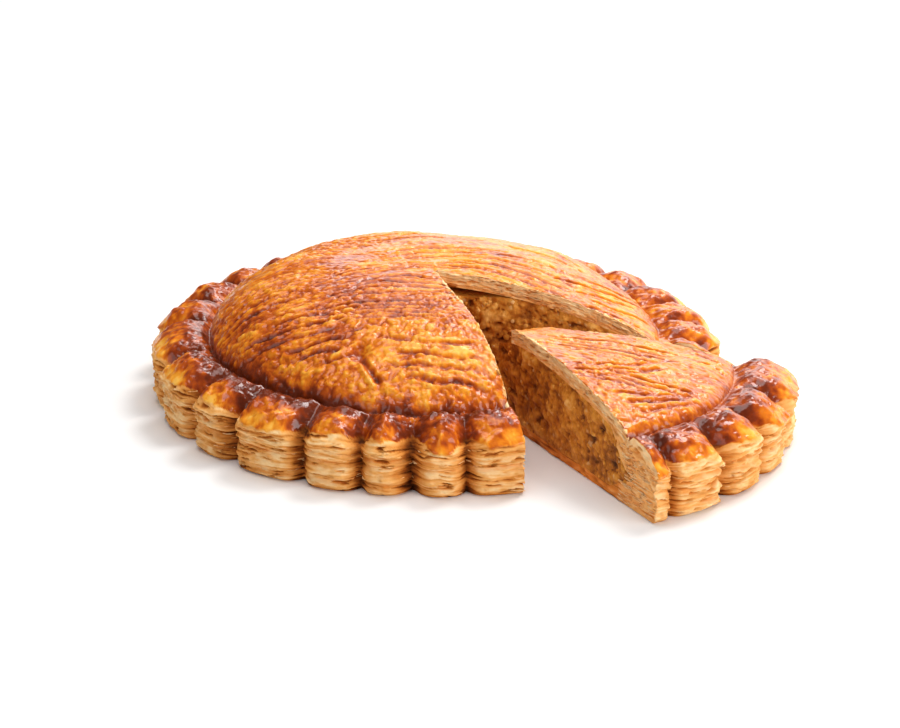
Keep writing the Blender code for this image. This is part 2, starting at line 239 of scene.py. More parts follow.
def noise(x, y, z, seed):
    """Smooth noise of about one either way, with features about one across."""
    x, y, z = np.broadcast_arrays(np.asarray(x, float), np.asarray(y, float), np.asarray(z, float))
    cells_at = [np.floor(part).astype(np.int64) for part in (x, y, z)]
    offsets = [part - cell for part, cell in zip((x, y, z), cells_at)]
    eases = [part * part * part * (part * (part * 6 - 15) + 10) for part in offsets]
    total = np.zeros(x.shape)
    for dx in (0, 1):
        for dy in (0, 1):
            for dz in (0, 1):
                corner = (cells_at[0] + dx, cells_at[1] + dy, cells_at[2] + dz)
                dot = sum(
                    (lattice(*corner, seed + 101 * axis) * 2 - 1) * (offsets[axis] - step)
                    for axis, step in enumerate((dx, dy, dz))
                )
                weight = 1.0
                for ease, step in zip(eases, (dx, dy, dz)):
                    weight = weight * (ease if step else 1 - ease)
                total += dot * weight
    return total * 1.5


def grain(name, x, y, z, more=0):
    """Named noise with its finer layers; more is added to its seed."""
    wide, deep, high, seed, count = GRAINS[name]
    seed += more
    x, y, z = x / wide, y / deep, z / high
    return sum(noise(x * 2 ** n, y * 2 ** n, z + n, seed + n) * 0.5 ** n for n in range(count))


def bumps(x, y, seed):
    """Rounded cells about one across: the height of each, from 0 at its border to 1, and its own number."""
    ix = np.floor(x).astype(np.int64)
    iy = np.floor(y).astype(np.int64)
    nearest = np.full(x.shape, 9.0)
    own = np.zeros(x.shape)
    for dx in (-1, 0, 1):
        for dy in (-1, 0, 1):
            cx, cy = ix + dx, iy + dy
            px = cx + lattice(cx, cy, ix * 0, seed)
            py = cy + lattice(cx, cy, ix * 0 + 1, seed)
            far = np.hypot(px - x, py - y)
            own = np.where(far < nearest, lattice(cx, cy, ix * 0 + 2, seed), own)
            nearest = np.minimum(nearest, far)
    return np.clip(1.0 - nearest * nearest * 1.4, 0.0, 1.0), own


def smooth(share):
    """Ease from 0 to 1."""
    share = np.clip(share, 0.0, 1.0)
    return share * share * (3.0 - 2.0 * share)


def bell(angle, width):
    """One at no angle and falling away over the width, in degrees."""
    angle = (angle + 180.0) % 360.0 - 180.0
    return np.exp(-((angle / width) ** 2))


def hump(distance, width):
    """One at no distance and falling away over the width."""
    return np.exp(-((distance / width) ** 2))


def wave(seed, slow, fast):
    """A smooth function of the heading, within about one either way."""
    source = random.Random(seed)
    terms = []
    for _ in range(5):
        terms.append((source.randint(slow, fast), source.uniform(0.0, math.tau), source.uniform(0.5, 1.0)))
    total = sum(size for _, _, size in terms)

    def value(heading):
        turn = np.radians(heading)
        return 1.6 * sum(size * np.sin(count * turn + phase) for count, phase, size in terms) / total

    return value


seam_wave = wave(SEED + 1, 5, 19)
groove_wave = wave(SEED + 2, 3, 14)
break_wave = wave(SEED + 3, 9, 25)


def back_notches():
    """Notches from the right cut round the back to the first that is seen in front."""
    source = random.Random(SEED)
    notches = []
    heading = CUT_RIGHT - LOBE_ANGLES[0] / 2
    while heading < FRONT_NOTCHES[0][0] - LOBE_ANGLES[0]:
        notches.append((heading, source.uniform(*NOTCH_DEPTHS)))
        heading += source.uniform(*LOBE_ANGLES)
    return tuple(notches)


class Portion:
    """The round or the slice: its cuts, notches, dome, place and looks."""

    def __init__(self, name, **sizes):
        self.name = name
        for key, value in sizes.items():
            setattr(self, key, value)
        source = random.Random(name)
        drapes = [source.uniform(*DRAPES) for _ in self.notches]
        if self.whole:
            drapes[-len(FRONT_DRAPES):] = FRONT_DRAPES
        self.drapes = np.array(drapes)
        self.notches = np.array(self.notches)

    def lobe(self, heading):
        """Notch depth, way out of the notch and of its wider dent, the lobe's number and share along it."""
        number = np.clip(np.searchsorted(self.notches[1:, 0], heading), 0, len(self.notches) - 2)
        before, after = self.notches[number], self.notches[number + 1]
        share = np.clip((heading - before[..., 0]) / (after[..., 0] - before[..., 0]), 0.0, 1.0)
        depth = np.where(share < 0.5, before[..., 1], after[..., 1])
        width = NOTCH_WIDTH * depth / NOTCH_DEPTHS[0]
        near = np.minimum(share, 1.0 - share) * np.radians(after[..., 0] - before[..., 0]) * RIM_RADIUS
        out = 1.0 - np.exp(-((near / width) ** 1.6))
        wide = 1.0 - np.exp(-((near / width / 1.7) ** 2))
        return depth, out, wide, number, share

    def edge_radius(self, heading):
        """The scalloped outline."""
        depth, out, _, _, share = self.lobe(heading)
        return plain_radius(heading) - depth * (1.0 - out) + LOBE_BOW * (np.sin(np.pi * share) - 0.5)

    def dome_height(self, reach, heading):
        """The lid's upper face within the groove."""
        share = np.minimum(reach / groove_radius(heading), 1.0)
        plain_fall, right_fall = self.falls
        fall = plain_fall + (right_fall - plain_fall) * bell(heading - CUT_RIGHT, 45.0)
        fall = fall + 1.6 * bell(heading - BACK_HEADING, BACK_WIDTH)
        low = groove_height(heading)
        droop = self.droop * np.maximum(1.0 - reach / TIP_DROOP_LENGTH, 0.0) ** 2
        crown = self.crown - self.lean * (heading - self.start) / (self.end - self.start)
        return low + (crown - low) * (1.0 - share ** fall) ** self.edge - droop

    def rim_height(self, share, heading):
        """The lid's upper face from the groove, share 0, to the edge, share 1."""
        depth, out, wide, _, _ = self.lobe(heading)
        flat = groove_height(heading) * (1.0 - share) + SIDE_TOP * share
        swell = LOBE_SWELL * out + BACK_SWELL * bell(heading - BACK_HEADING, BACK_WIDTH)
        arch = (RIM_ARCH + swell) * 4.0 * share * (1.0 - share)
        crease = CREASE_DROP * (1.0 - wide) * depth / NOTCH_DEPTHS[1]
        return flat + arch - crease * smooth((share - CREASE_SHARE) / (1.0 - CREASE_SHARE))

    def lid_under(self, reach, heading):
        """The lid's lower face over the filling."""
        closing = taper(reach, heading)
        dome = self.dome_height(reach, heading) - LID_THICKNESS
        return dome * (1.0 - closing) + (seam_height(heading) + FILLING_EDGE / 2) * closing

    def inner_radius(self, heading):
        """Where the lid begins: at the centre, or where its tip is broken off."""
        if not self.tip_break:
            return 0.0 * heading
        return self.tip_break + LID_TIP_RAGGED * break_wave(heading)

    def place(self, heading, reach, height):
        """Points in the shared frame."""
        turn = np.radians(heading + self.turn)
        x = self.tip[0] + CENTRE[0] + reach * np.cos(turn)
        y = self.tip[1] + CENTRE[1] + reach * np.sin(turn)
        return np.stack(np.broadcast_arrays(x, y, height), -1)

    def middle(self, height):
        """The point at the tip, as an array of one."""
        return self.place(np.array([self.start]), 0.0, height)

    def run(self, points):
        """How far points are from the tip, in plan."""
        return np.hypot(*(points[:, :2] - (np.array(self.tip) + CENTRE)).T)

    def across(self, column):
        """The level way across the cut at the start, 0, or at the end, -1."""
        turn = math.radians((self.start, self.end)[column] + self.turn)
        return np.array([-math.sin(turn), math.cos(turn), 0.0])


def plain_radius(heading):
    """The outline without its notches."""
    turn = np.radians(heading)
    bulge = BACK_BULGE * bell(heading - BACK_HEADING, BACK_WIDTH)
    bulge = bulge + LEFT_BULGE * bell(heading - LEFT_HEADING, LEFT_WIDTH)
    return RIM_RADIUS - RIM_OVAL * np.cos(2.0 * turn) + RIM_SHIFT * np.cos(turn) + bulge


def groove_radius(heading):
    """Where the dome meets the rim."""
    forward = 0.0072 * bell(heading + 82.0, 42.0)
    back = 0.0045 * bell(heading - 112.0, 60.0)
    return GROOVE_RADIUS + forward + back + 0.0011 * groove_wave(heading)


def groove_height(heading):
    """The height of the groove."""
    return GROOVE_HEIGHT + GROOVE_RISE * bell(heading + 82.0, 42.0)


def seam_height(heading):
    """The middle of the seam between lid and base."""
    return SEAM_HEIGHT + 0.0007 * seam_wave(heading)


def filling_radius(heading):
    """Where the filling ends."""
    return plain_radius(heading) - FILLING_INSET


def taper(reach, heading):
    """Zero inside, and one where the filling ends."""
    return smooth((reach - filling_radius(heading) + FILLING_TAPER) / FILLING_TAPER)


def base_over(reach, heading):
    """The base's upper face under the filling."""
    closing = taper(reach, heading)
    return BASE_THICKNESS * (1.0 - closing) + (seam_height(heading) - FILLING_EDGE / 2) * closing


# Groups of scored strokes, in hundredths of the round's radius about the portion's centre: start, middle and
# end of the first stroke and of the last, and how many strokes the group has.
UNIT = 0.00105
STROKE_WIDTH = 0.00086
STROKE_POINTS = 15
STROKE_STRENGTHS = (0.55, 1.0)
STROKE_MARGIN = 0.004
STROKE_FADE = 0.15
STROKES_ROUND = (
    (((-41, -5), (-10, 10), (28, 5)), ((-38, -12), (-14, 3), (14, 1)), 3),
    (((-19, 24), (4, 29), (30, 24)), ((-28, 12), (0, 19), (30, 14)), 3),
    (((-33, -18), (-18, -7), (4, -9)), ((-36, -27), (-18, -22), (8, -22)), 4),
    (((-45, -32), (-22, -31), (9, -29)), ((-38, -47), (-20, -43), (12, -48)), 5),
    (((-55, -32), (-45, -30), (-35, -29)), ((-66, -44), (-50, -47), (-28, -44)), 4),
    (((-52, -52), (-42, -53), (-30, -54)), ((-44, -64), (-34, -63), (-24, -64)), 3),
    (((-21, -56), (0, -61), (19, -62)), ((-12, -76), (3, -77), (22, -80)), 4),
    (((-72, -4), (-58, 3), (-44, 7)), ((-74, -28), (-60, -21), (-46, -21)), 5),
    (((-58, 20), (-42, 31), (-26, 35)), ((-66, 6), (-50, 15), (-32, 19)), 3),
    (((-46, 46), (-26, 55), (-4, 58)), ((-38, 37), (-18, 42), (4, 42)), 3),
    (((5, 28), (32, 19), (57, 8)), ((3, 7), (25, 0), (48, -12)), 4),
    (((36, 54), (50, 44), (62, 32)), ((27, 42), (40, 31), (52, 22)), 3),
    (((36, 14), (58, 13), (77, 22)), ((37, -1), (58, 1), (76, 8)), 3),
    (((54, -5), (64, -5), (77, -3)), ((52, -13), (62, -12), (72, -14)), 2),
    (((-10, 68), (12, 73), (32, 69)), ((-4, 57), (14, 61), (34, 57)), 3),
    (((-24, -63), (-21, -70), (-20, -77)), ((-24, -63), (-21, -70), (-20, -77)), 1),
)
STROKES_SLICE = (
    (((14, -14), (32, -18), (58, -27)), ((8, -22), (25, -26), (54, -38)), 4),
    (((13, -39), (30, -40), (54, -33)), ((16, -50), (30, -47), (46, -41)), 3),
    (((20, -44), (36, -49), (53, -56)), ((13, -49), (28, -53), (44, -60)), 3),
    (((24, -61), (38, -60), (54, -56)), ((27, -71), (38, -67), (52, -61)), 3),
    (((60, -20), (67, -22), (74, -27)), ((58, -29), (66, -31), (72, -36)), 2),
)


def stroke_lines(groups, seed):
    """Each stroke as a bowed line of points, with a little of its own in place, length and depth."""
    source = random.Random(seed)
    lines = []
    for first, last, count in groups:
        for number in range(count):
            share = number / max(count - 1, 1)
            start, middle, end = np.array(first) * (1 - share) + np.array(last) * share
            shift = source.uniform(-1.1, 1.1)
            start = start + np.array([source.uniform(-4.0, 4.0), shift])
            end = end + np.array([source.uniform(-4.0, 4.0), shift + source.uniform(-0.8, 0.8)])
            middle = 2 * middle - (start + end) / 2 + np.array([0.0, source.uniform(-0.8, 0.8)])
            steps = np.linspace(0.0, 1.0, STROKE_POINTS)[:, None]
            line = (1 - steps) ** 2 * start + 2 * steps * (1 - steps) * middle + steps ** 2 * end
            lines.append((line * UNIT, source.uniform(*STROKE_STRENGTHS)))
    return lines


def scored(x, y, lines):
    """How deep in a stroke each point lies, and how far up on its lips, both from 0 to 1."""
    cut = np.zeros(x.shape)
    lip = np.zeros(x.shape)
    flat_x, flat_y = x.ravel(), y.ravel()
    flat_cut, flat_lip = cut.ravel(), lip.ravel()
    sway = 0.0015 * grain("stroke sway", flat_x, flat_y, 0.5)
    sway = sway + 0.0003 * grain("stroke shake", flat_x, flat_y, 1.5)
    for line, strength in lines:
        low, high = line.min(0) - STROKE_MARGIN, line.max(0) + STROKE_MARGIN
        near = np.flatnonzero(
            (flat_x > low[0]) & (flat_x < high[0]) & (flat_y > low[1]) & (flat_y < high[1])
        )
        if not len(near):
            continue
        px, py = flat_x[near], flat_y[near] + sway[near]
        far = np.full(len(near), 1.0)
        along = np.zeros(len(near))
        for number, (begin, stop) in enumerate(zip(line, line[1:])):
            run = stop - begin
            share = np.clip(((px - begin[0]) * run[0] + (py - begin[1]) * run[1]) / (run @ run), 0.0, 1.0)
            distance = np.hypot(px - begin[0] - run[0] * share, py - begin[1] - run[1] * share)
            along = np.where(distance < far, (number + share) / (len(line) - 1), along)
            far = np.minimum(far, distance)
        fade = strength * smooth(along / STROKE_FADE) * smooth((1.0 - along) / STROKE_FADE)
        flat_cut[near] = np.maximum(flat_cut[near], fade * hump(far, STROKE_WIDTH))
        flat_lip[near] = np.maximum(flat_lip[near], fade * hump(far - 2.0 * STROKE_WIDTH, 0.8 * STROKE_WIDTH))
    return cut, lip


def masked(brown, pale=0.0, flank=1.0, cut=0.0):
    """The masks of each point: how brown it is, painted shade included, pale bits, the flaky flank and the
    cut faces.
    """
    return np.stack(np.broadcast_arrays(brown, pale, flank, cut), -1)


def brushed(x, y):
    """Places in plan turned along the way that the scored strokes run."""
    turn = np.radians(14.0 - 34.0 * smooth((x + 0.02) / 0.06) + 8.0 * smooth((y - 0.02) / 0.05))
    return x * np.cos(turn) + y * np.sin(turn), y * np.cos(turn) - x * np.sin(turn)


def tone_at(x, y, height, heading, beyond, spotted):
    """How brown the glaze is, 0 golden to 1 burnt, before its bumps; beyond is how far past the groove."""
    left = bell(heading - 200.0, 60.0)
    front_left = bell(heading - 226.0, 30.0)
    front = bell(heading - 262.0, 30.0)
    right = bell(heading - 20.0, 75.0)
    darkening = 0.18 + 0.12 * left + 0.56 * front_left + 0.32 * front
    tone = 0.40 + 0.05 * left + 0.09 * front_left - 0.05 * right
    tone = tone + darkening * hump(beyond - BURNT_INWARD + 0.0022 * grain("ragged", x, y, height), BURNT_WIDTH)
    u, v = brushed(x, y)
    tone = tone + 0.18 * spotted * grain("broad tone", u, v, height)
    tone = tone + 0.13 * grain("brushed tone", u, v, height)
    return tone + 0.12 * spotted * grain("fine tone", x, y, height)


def golden_at(x, y):
    """Where the round's lid stayed yellow: the front middle and two smaller patches."""
    patch = 0.0
    for share, (centre_x, centre_y), (wide, deep) in GOLDEN_PATCHES:
        patch = patch + share * hump(x - centre_x, wide) * hump(y - centre_y, deep)
    return np.clip(patch, 0.0, 1.0) * smooth(0.60 + 0.9 * grain("golden", x, y, 7.5))


def flakes(portion, heading, height):
    """The flaky flank: how far each place stands out, and how dark it is, with painted shade in its recesses.
    """
    arc = np.radians(heading) * RIM_RADIUS
    _, out, _, number, share = portion.lobe(heading)
    own, other = lattice(number, number * 0, number * 0, 5), lattice(number, number * 0 + 1, number * 0, 5)
    level = height + 0.0011 * (own - 0.35) * (2.0 * share - 1.0) ** 2 + 0.0016 * (other - 0.5) * (share - 0.5)
    level = level + 0.0008 * grain("layer bow", arc, own * 9.0, height)
    level = level + 0.00042 * grain("layer sway", arc, own * 9.0, height)
    fold = level / FOLD_HEIGHT + own
    folded = np.abs(np.sin(np.pi * fold)) ** 0.75
    deep = smooth(0.7 + 0.9 * grain("fold depth", arc, fold, own * 4.0))
    sheet = level / SHEET_HEIGHT + own * 5.0 + 0.55 * grain("sheet sway", arc, level, own * 7.0)
    ridge = np.abs(np.sin(np.pi * sheet)) ** 0.5
    merge = np.clip(0.42 + 1.1 * grain("merge", arc, level, own * 5.0), 0.04, 1.2)
    torn = grain("torn", arc, level, own * 3.0)
    crack, lift = smooth((torn - 0.30) / 0.25), smooth((-torn - 0.38) / 0.25)
    stand = FOLD_DEPTH * (folded - 0.7) * deep + SHEET_DEPTH * (ridge - 0.6) * merge
    stand = stand - SLOT_DEPTH * (1.0 - out)
    stand = stand - CRACK_DEPTH * crack + LIFT_HEIGHT * lift + FIBRE_HEIGHT * grain("fibre", arc, level, 1.5)
    # Painted shade: darker in the cracks, between the sheets, in the fold valleys and in the slots between
    # lobes; the flank tone is the pastry's own colour.
    shade = 0.10 + 0.50 * crack + 0.42 * (1.0 - ridge) * np.clip(merge, 0.0, 1.0)
    shade = shade + 0.34 * (1.0 - folded) ** 2 * deep
    shade = shade + 0.62 * (1.0 - out) + 0.30 * grain("flank tone", arc, level, 6.5)
    return stand, np.clip(shade * portion.flank_shade, 0.0, 1.0)


def profile(portion, way, heading):
    """The lid's outer skin before its relief: reach, height, how far it has turned to the side, and its run
    inward from the rim's corner. The way is 0 to 1 up to the groove, on to 2 at the corner, 3 at the seam."""
    dome_share, rim_share, side_share = (np.clip(way - start, 0.0, 1.0) for start in range(3))
    inner, groove, edge = portion.inner_radius(heading), groove_radius(heading), portion.edge_radius(heading)
    corner = edge + LID_SIDE[-1][1]
    top, low = portion.rim_height(1.0, heading), seam_height(heading)
    shares, steps = zip(*LID_SIDE)

    def rim(share):
        return groove + (corner - groove) * share, portion.rim_height(share, heading)

    def side(share):
        return edge + np.interp(1.0 - share, shares, steps), low + (top - low) * (1.0 - share)

    reach_dome = inner + (groove - inner) * dome_share
    dome = (reach_dome, portion.dome_height(reach_dome, heading))
    before = ROUNDING / (corner - groove)
    after = ROUNDING_DOWN / (top - low)
    turned = np.clip((way - 2.0 + before) / (before + after), 0.0, 1.0)
    rounding = (turned > 0.0) & (turned < 1.0)
    peak = (corner + PEAK_OUT, top + PEAK_OUT)
    shown = []
    for on_dome, on_rim, on_side, begin, end, tip in zip(
        dome, rim(rim_share), side(side_share), rim(1.0 - before), side(after + 0.0 * heading), peak
    ):
        plain = np.where(way <= 1.0, on_dome, np.where(way <= 2.0, on_rim, on_side))
        rounded = (1 - turned) ** 2 * begin + 2 * turned * (1 - turned) * tip + turned ** 2 * end
        shown.append(np.where(rounding, rounded, plain))
    run = (1.0 - rim_share) * (corner - groove) - side_share * (top - low)
    return shown[0], shown[1], turned, run


class Skin:
    """The lid's outer skin at many places: its plain shape, relief, the glaze's border, and the browning with
    its painted shade.
    """

    def __init__(self, portion, way, heading, lines):
        self.portion, self.way, self.heading = portion, way, heading
        self.reach, self.height, turned, self.run = profile(portion, way, heading)
        _, _, self.wide, self.number, self.share = portion.lobe(heading)
        turn = np.radians(heading)
        self.x, self.y, self.arc = self.reach * np.cos(turn), self.reach * np.sin(turn), turn * RIM_RADIUS
        self.side = smooth(turned)
        self.on_dome = 1.0 - smooth((way - 0.94) / 0.08)
        self.on_rim = smooth((way - 0.98) / 0.14) * (1.0 - self.side)
        front_left = bell(heading + 128.0, 80.0) * smooth(self.reach / 0.03 - 0.4)
        self.rough = portion.least_rough + 0.66 * front_left
        groove = groove_radius(heading)
        past = self.reach - groove
        self.beyond = np.where(way < 1.0, -np.hypot(past, self.height - groove_height(heading)), past)
        cut, lip = scored(self.x, self.y, lines)
        self.cut, self.lip = cut * self.on_dome, lip * self.on_dome
        from_vent = np.hypot(self.x - VENT[0], (self.y - VENT[1]) * VENT_SQUASH)
        self.vent = hump(from_vent, VENT_WIDTH) * portion.whole
        x, y, height = self.x, self.y, self.height
        u, v = brushed(x, y)
        u = u + WARP * grain("warp along", x, y, height)
        v = v + WARP * grain("warp across", x, y, height)
        self.blister = np.abs(grain("blister", u, v, height)) ** 0.7
        self.small = np.abs(grain("small blister", u, v, height)) ** 0.8
        self.streak = grain("streak", u, v, height)
        self.wrinkle = grain("wrinkle", x, y, height)
        self.lumps = grain("rim lump", x, y, height)

    def rise(self):
        """How far the relief stands off the plain shape."""
        x, y = self.x, self.y
        patchy = smooth(0.75 + 0.9 * grain("patch", x, y, 2.5))
        blistered = BLISTER_HEIGHT * (self.blister - 0.35) + SMALL_HEIGHT * (self.small - 0.3)
        relief = self.rough * patchy * (blistered + 0.00024 * self.wrinkle)
        relief = relief + 0.00018 * self.streak + 0.00016 * self.wrinkle
        pucker = grain("pucker", self.arc, self.reach, self.height)
        relief = relief + PUCKER_HEIGHT * pucker * hump(self.beyond, PUCKER_WIDTH)
        merged = 1.0 - 0.8 * bell(self.heading - 30.0, 60.0)
        dip = DIP_DEPTH * hump(self.beyond, DIP_WIDTH) * (1.0 + 0.5 * pucker) * merged
        pillow = PILLOW_HEIGHT * (np.sin(np.pi * self.share) ** 0.8 - 0.5) - MORE_CREASE * (1.0 - self.wide)
        pillow = pillow * smooth((self.way - 1.06) / 0.35)
        strokes = (0.6 + 0.4 * self.rough) * (LIP_HEIGHT * self.lip - STROKE_DEPTH * self.cut)
        swell = 0.0011 * grain("swell", x, y, 0.5) * self.on_dome + 0.0010 * self.lumps * self.on_rim
        return swell + relief + pillow - dip + strokes - VENT_DEPTH * self.vent

    def flank(self):
        """How far the flank stands out, how much of it the glaze caps, and its shade, painted shade in its
        recesses.
        """
        stand, shade = flakes(self.portion, self.heading, self.height)
        drape = self.portion.drapes[self.number]
        border = -drape * self.wide * (0.7 + 0.3 * np.sin(np.pi * self.share))
        border = border + CREASE_BORDER * (1.0 - self.wide)
        border = border - 0.0006 * grain("cap sway", self.arc, self.number * 1.7, 2.5)
        capped = smooth((self.run - border) / 0.0006 + 0.5)
        lip_out = CAP_LIP * capped * smooth(1.0 - (self.run - border) / 0.0030)
        cap = lip_out + 0.00050 * grain("cap bump", self.arc, self.height, 9.5)
        calm = 0.25 + 0.75 * smooth((3.0 - self.way) / 0.04)
        return self.side * (cap * capped + stand * (1.0 - capped)) * calm, capped, shade

    def rim_tone(self, height):
        """How brown the rim is, with painted shade in the creases between lobes."""
        # Painted shade: darker along the creases between the lobes.
        tone = 0.52 + 0.34 * (1.0 - self.wide) * smooth((self.way - 1.1) / 0.4) + 0.22 * self.lumps
        tone = tone + 0.22 * grain("rim mottle", self.x, self.y, height)
        tone = tone + 0.12 * bell(self.heading - 270.0, 42.0) - 0.12 * bell(self.heading - 30.0, 60.0)
        tone = tone - 0.26 * smooth(1.0 - self.run / 0.0050) * self.wide
        tone = tone + 0.10 * smooth((self.run - 0.007) / 0.004)
        tone = tone + 0.42 * bell(self.heading - 226.0, 36.0) * smooth((self.run - 0.0065) / 0.005)
        return tone + self.portion.rim_browner

    def tone(self, height):
        """How brown the glaze is, with painted shade in folds and the vent and a painted highlight on stroke
        lips; the height has the relief.
        """
        rim = np.clip(self.on_rim + self.side, 0.0, 1.0)
        tone = tone_at(self.x, self.y, height, self.heading, self.beyond, self.portion.spotted)
        tone = tone * (1.0 - rim) + self.rim_tone(height) * rim
        golden_bits = smooth((self.small + 0.8 * self.blister - 0.62) / 0.4)
        folds = smooth(1.0 - self.small / 0.26) + 0.8 * smooth(1.0 - self.blister / 0.30)
        golden = golden_at(self.x, self.y) * self.on_dome * self.portion.whole
        # The lips of the strokes are painted lighter: a painted highlight.
        tone = tone + 0.36 * self.cut - 0.12 * self.lip - 0.14 * (0.4 + self.rough) * golden_bits
        tone = tone - 0.06 * self.streak - 0.24 * golden
        # Painted shade: darker in the folds between the blisters and in the vent; the slice's dome_browner is
        # its own browning.
        darkening = 0.09 * self.rough * folds + 0.26 * self.vent + self.portion.dome_browner
        return tone + darkening * (1.0 - rim) - 0.12 * self.wrinkle


def lid_skin(portion, way, heading, lines):
    """Points and masks of the lid's outer skin, with the relief along the way out of the dome."""
    skin = Skin(portion, way, heading, lines)
    up = skin.rise() * (1.0 - skin.side)
    outward, capped, shade = skin.flank()
    above, below = (portion.dome_height(skin.reach + step, heading) for step in (SLOPE_STEP, -SLOPE_STEP))
    slope = np.clip((above - below) / (2.0 * SLOPE_STEP), -3.0, 3.0) * skin.on_dome
    tilt = np.hypot(slope, 1.0)
    height = skin.height + up / tilt
    brown = np.minimum(skin.tone(height), MOST_BROWN)
    masks = masked(np.clip(brown * capped + shade * (1.0 - capped), 0.0, 1.0), flank=1.0 - capped)
    return portion.place(heading, skin.reach + outward - up * slope / tilt, height), masks


def make_piece(name, points, faces, masks):
    """One smooth mesh object with the masks as attributes."""
    mesh = bpy.data.meshes.new(name)
    mesh.from_pydata(points.tolist(), [], faces)
    for number, mask in enumerate(MASKS):
        layer = mesh.attributes.new(mask, "FLOAT", "POINT")
        layer.data.foreach_set("value", masks[:, number].astype(np.float32))
    mesh.polygons.foreach_set("use_smooth", np.ones(len(mesh.polygons), bool))
    mesh.validate()
    mesh.update()
    piece = bpy.data.objects.new(name, mesh)
    bpy.context.scene.collection.objects.link(piece)
    return piece


class Surface:
    """Collects grids and strips of faces, welds equal points and makes one mesh."""

    def __init__(self):
        self.points = []
        self.masks = []
        self.quads = []
        self.triangles = []
        self.count = 0

    def add(self, points, masks):
        """Keep points and return their numbers in the same layout."""
        shape = points.shape[:-1]
        size = int(np.prod(shape))
        self.points.append(points.reshape(-1, 3))
        self.masks.append(np.broadcast_to(masks, shape + (len(MASKS),)).reshape(-1, len(MASKS)))
        numbers = np.arange(self.count, self.count + size).reshape(shape)
        self.count += size
        return numbers

    def grid(self, numbers, flip=False):
        """Faces between neighbouring rows and columns."""
        a, b, c, d = numbers[:-1, :-1], numbers[1:, :-1], numbers[1:, 1:], numbers[:-1, 1:]
        order = (a, d, c, b) if flip else (a, b, c, d)
        self.quads.append(np.stack([part.ravel() for part in order], -1))

    def strip(self, one, two, flip=False):
        """Faces between two rows that may have different numbers of points."""
        i = j = 0
        while i < len(one) - 1 or j < len(two) - 1:
            take = j == len(two) - 1
            if i < len(one) - 1 and j < len(two) - 1:
                take = (2 * i + 1) / (len(one) - 1) < (2 * j + 1) / (len(two) - 1)
            if take:
                face = (one[i + 1], one[i], two[j])
                i += 1
            else:
                face = (two[j], two[j + 1], one[i])
                j += 1
            self.triangles.append(face[::-1] if flip else face)

    def make(self, name):
        """The collected faces as one mesh object, without those that shrink to a line."""
        points = np.concatenate(self.points)
        cells = np.round(points * WELD).astype(np.int64)
        _, first, back = np.unique(cells, axis=0, return_index=True, return_inverse=True)
        back = back.ravel()
        corners = back[np.concatenate(self.quads)].tolist() + back[np.array(self.triangles, int)].tolist()
        faces = [list(dict.fromkeys(face)) for face in corners]
        return make_piece(name, points[first], [face for face in faces if len(face) > 2],
                          np.concatenate(self.masks)[first])


def edged(shape, columns=True):
    """One inside a grid and zero on its first and last rows, and on its border columns if wanted."""
    inside = np.ones(shape)
    inside[0] = inside[-1] = 0.0
    if columns:
        inside[:, 0] = inside[:, -1] = 0.0
    return inside


def resampled(shares, at, line):
    """A line of points at new shares of its length."""
    return np.stack([np.interp(shares, at, line[:, axis]) for axis in range(3)], -1)


def sheet_between(upper, lower, count):
    """Points across from one line to another, count of them."""
    down = np.linspace(0.0, 1.0, count)[None, :, None]
    return upper[:, None] * (1 - down) + lower[:, None] * down


def follow_edge(sheet, flank, run):
    """Let the outer end of a cut face follow the flank's own line."""
    down = np.linspace(0.0, 1.0, len(flank))[:, None]
    bulge = flank - (flank[0] * (1 - down) + flank[-1] * down)
    return sheet + bulge[None] * np.exp(-(run[-1] - run) / EDGE_PULL)[:, None, None]


def ways(portion):
    """The rows of the lid's skin: coarse rings by the middle, then finer ones, as (rows, steps round)."""
    full = round((portion.end - portion.start) / HEADING_STEP / 4) * 4
    fine = np.linspace(0.0, 1.0, 4001)
    climb = (portion.crown - GROOVE_HEIGHT) * (1.0 - fine ** portion.falls[0]) ** portion.edge
    arc = np.append(0.0, np.cumsum(np.hypot(np.diff(fine) * GROOVE_RADIUS, np.diff(climb))))
    shares = np.interp(np.linspace(0.0, arc[-1], round(arc[-1] / RING_STEP) + 1), arc, fine)
    rim = 1.0 + np.linspace(0.0, 1.0, RIM_ROWS)[1:]
    side = 2.0 + np.linspace(0.0, 1.0, SIDE_ROWS + 1)[1:]
    inner = shares[(shares < 0.25)][0 if portion.tip_break else 2:]
    middle = shares[(shares >= 0.25) & (shares < 0.5)]
    outer = np.concatenate([shares[shares >= 0.5], rim, side])
    return [(inner, full // 4), (middle, full // 2), (outer, full)]


def crust_tone(depth, run, up, more):
    """Cut flaky layers: how far they stand out and how dark they are, from the depth under the skin, with
    painted shade in tears.
    """
    layer = grain("cut layer", run, depth, up, more)
    pore = grain("cut pore", run, up, 3.5, more)
    torn = smooth((grain("cut tear", run, depth, 6.5, more) - 0.26) / 0.2)
    stand = 0.00055 * layer + 0.00045 * pore - 0.0010 * torn
    lower = smooth((depth / LID_THICKNESS - 0.42 + 0.5 * pore) / 0.5)
    # Torn places are painted darker: painted shade in the tears.
    shade = 0.06 + 0.20 * lower - 0.12 * layer + 0.30 * torn - 0.10 * hump(depth, 0.0008)
    return stand, shade


def lid_underside(portion, surface, rim_row):
    """The lid's underside, joined to the skin's last row: its points and numbers."""
    heading = np.linspace(portion.start, portion.end, len(rim_row) // 4 + 1)[None, :]
    closed = filling_radius(heading) + EDGE_CLOSING
    first = portion.inner_radius(heading) + (0.0 if portion.tip_break else CENTRE_HOLE)
    reach = first + (closed - first) * np.linspace(1.0, 0.0, UNDER_ROWS)[:, None]
    height = np.where(reach > filling_radius(heading), seam_height(heading) + (reach < closed) * SEAM_LIFT,
                      portion.lid_under(reach, heading))
    points = portion.place(heading + 0.0 * reach, reach, height)
    under = surface.add(points, masked(0.35, cut=1.0))
    surface.grid(under)
    surface.strip(rim_row, under[0])
    return points, under


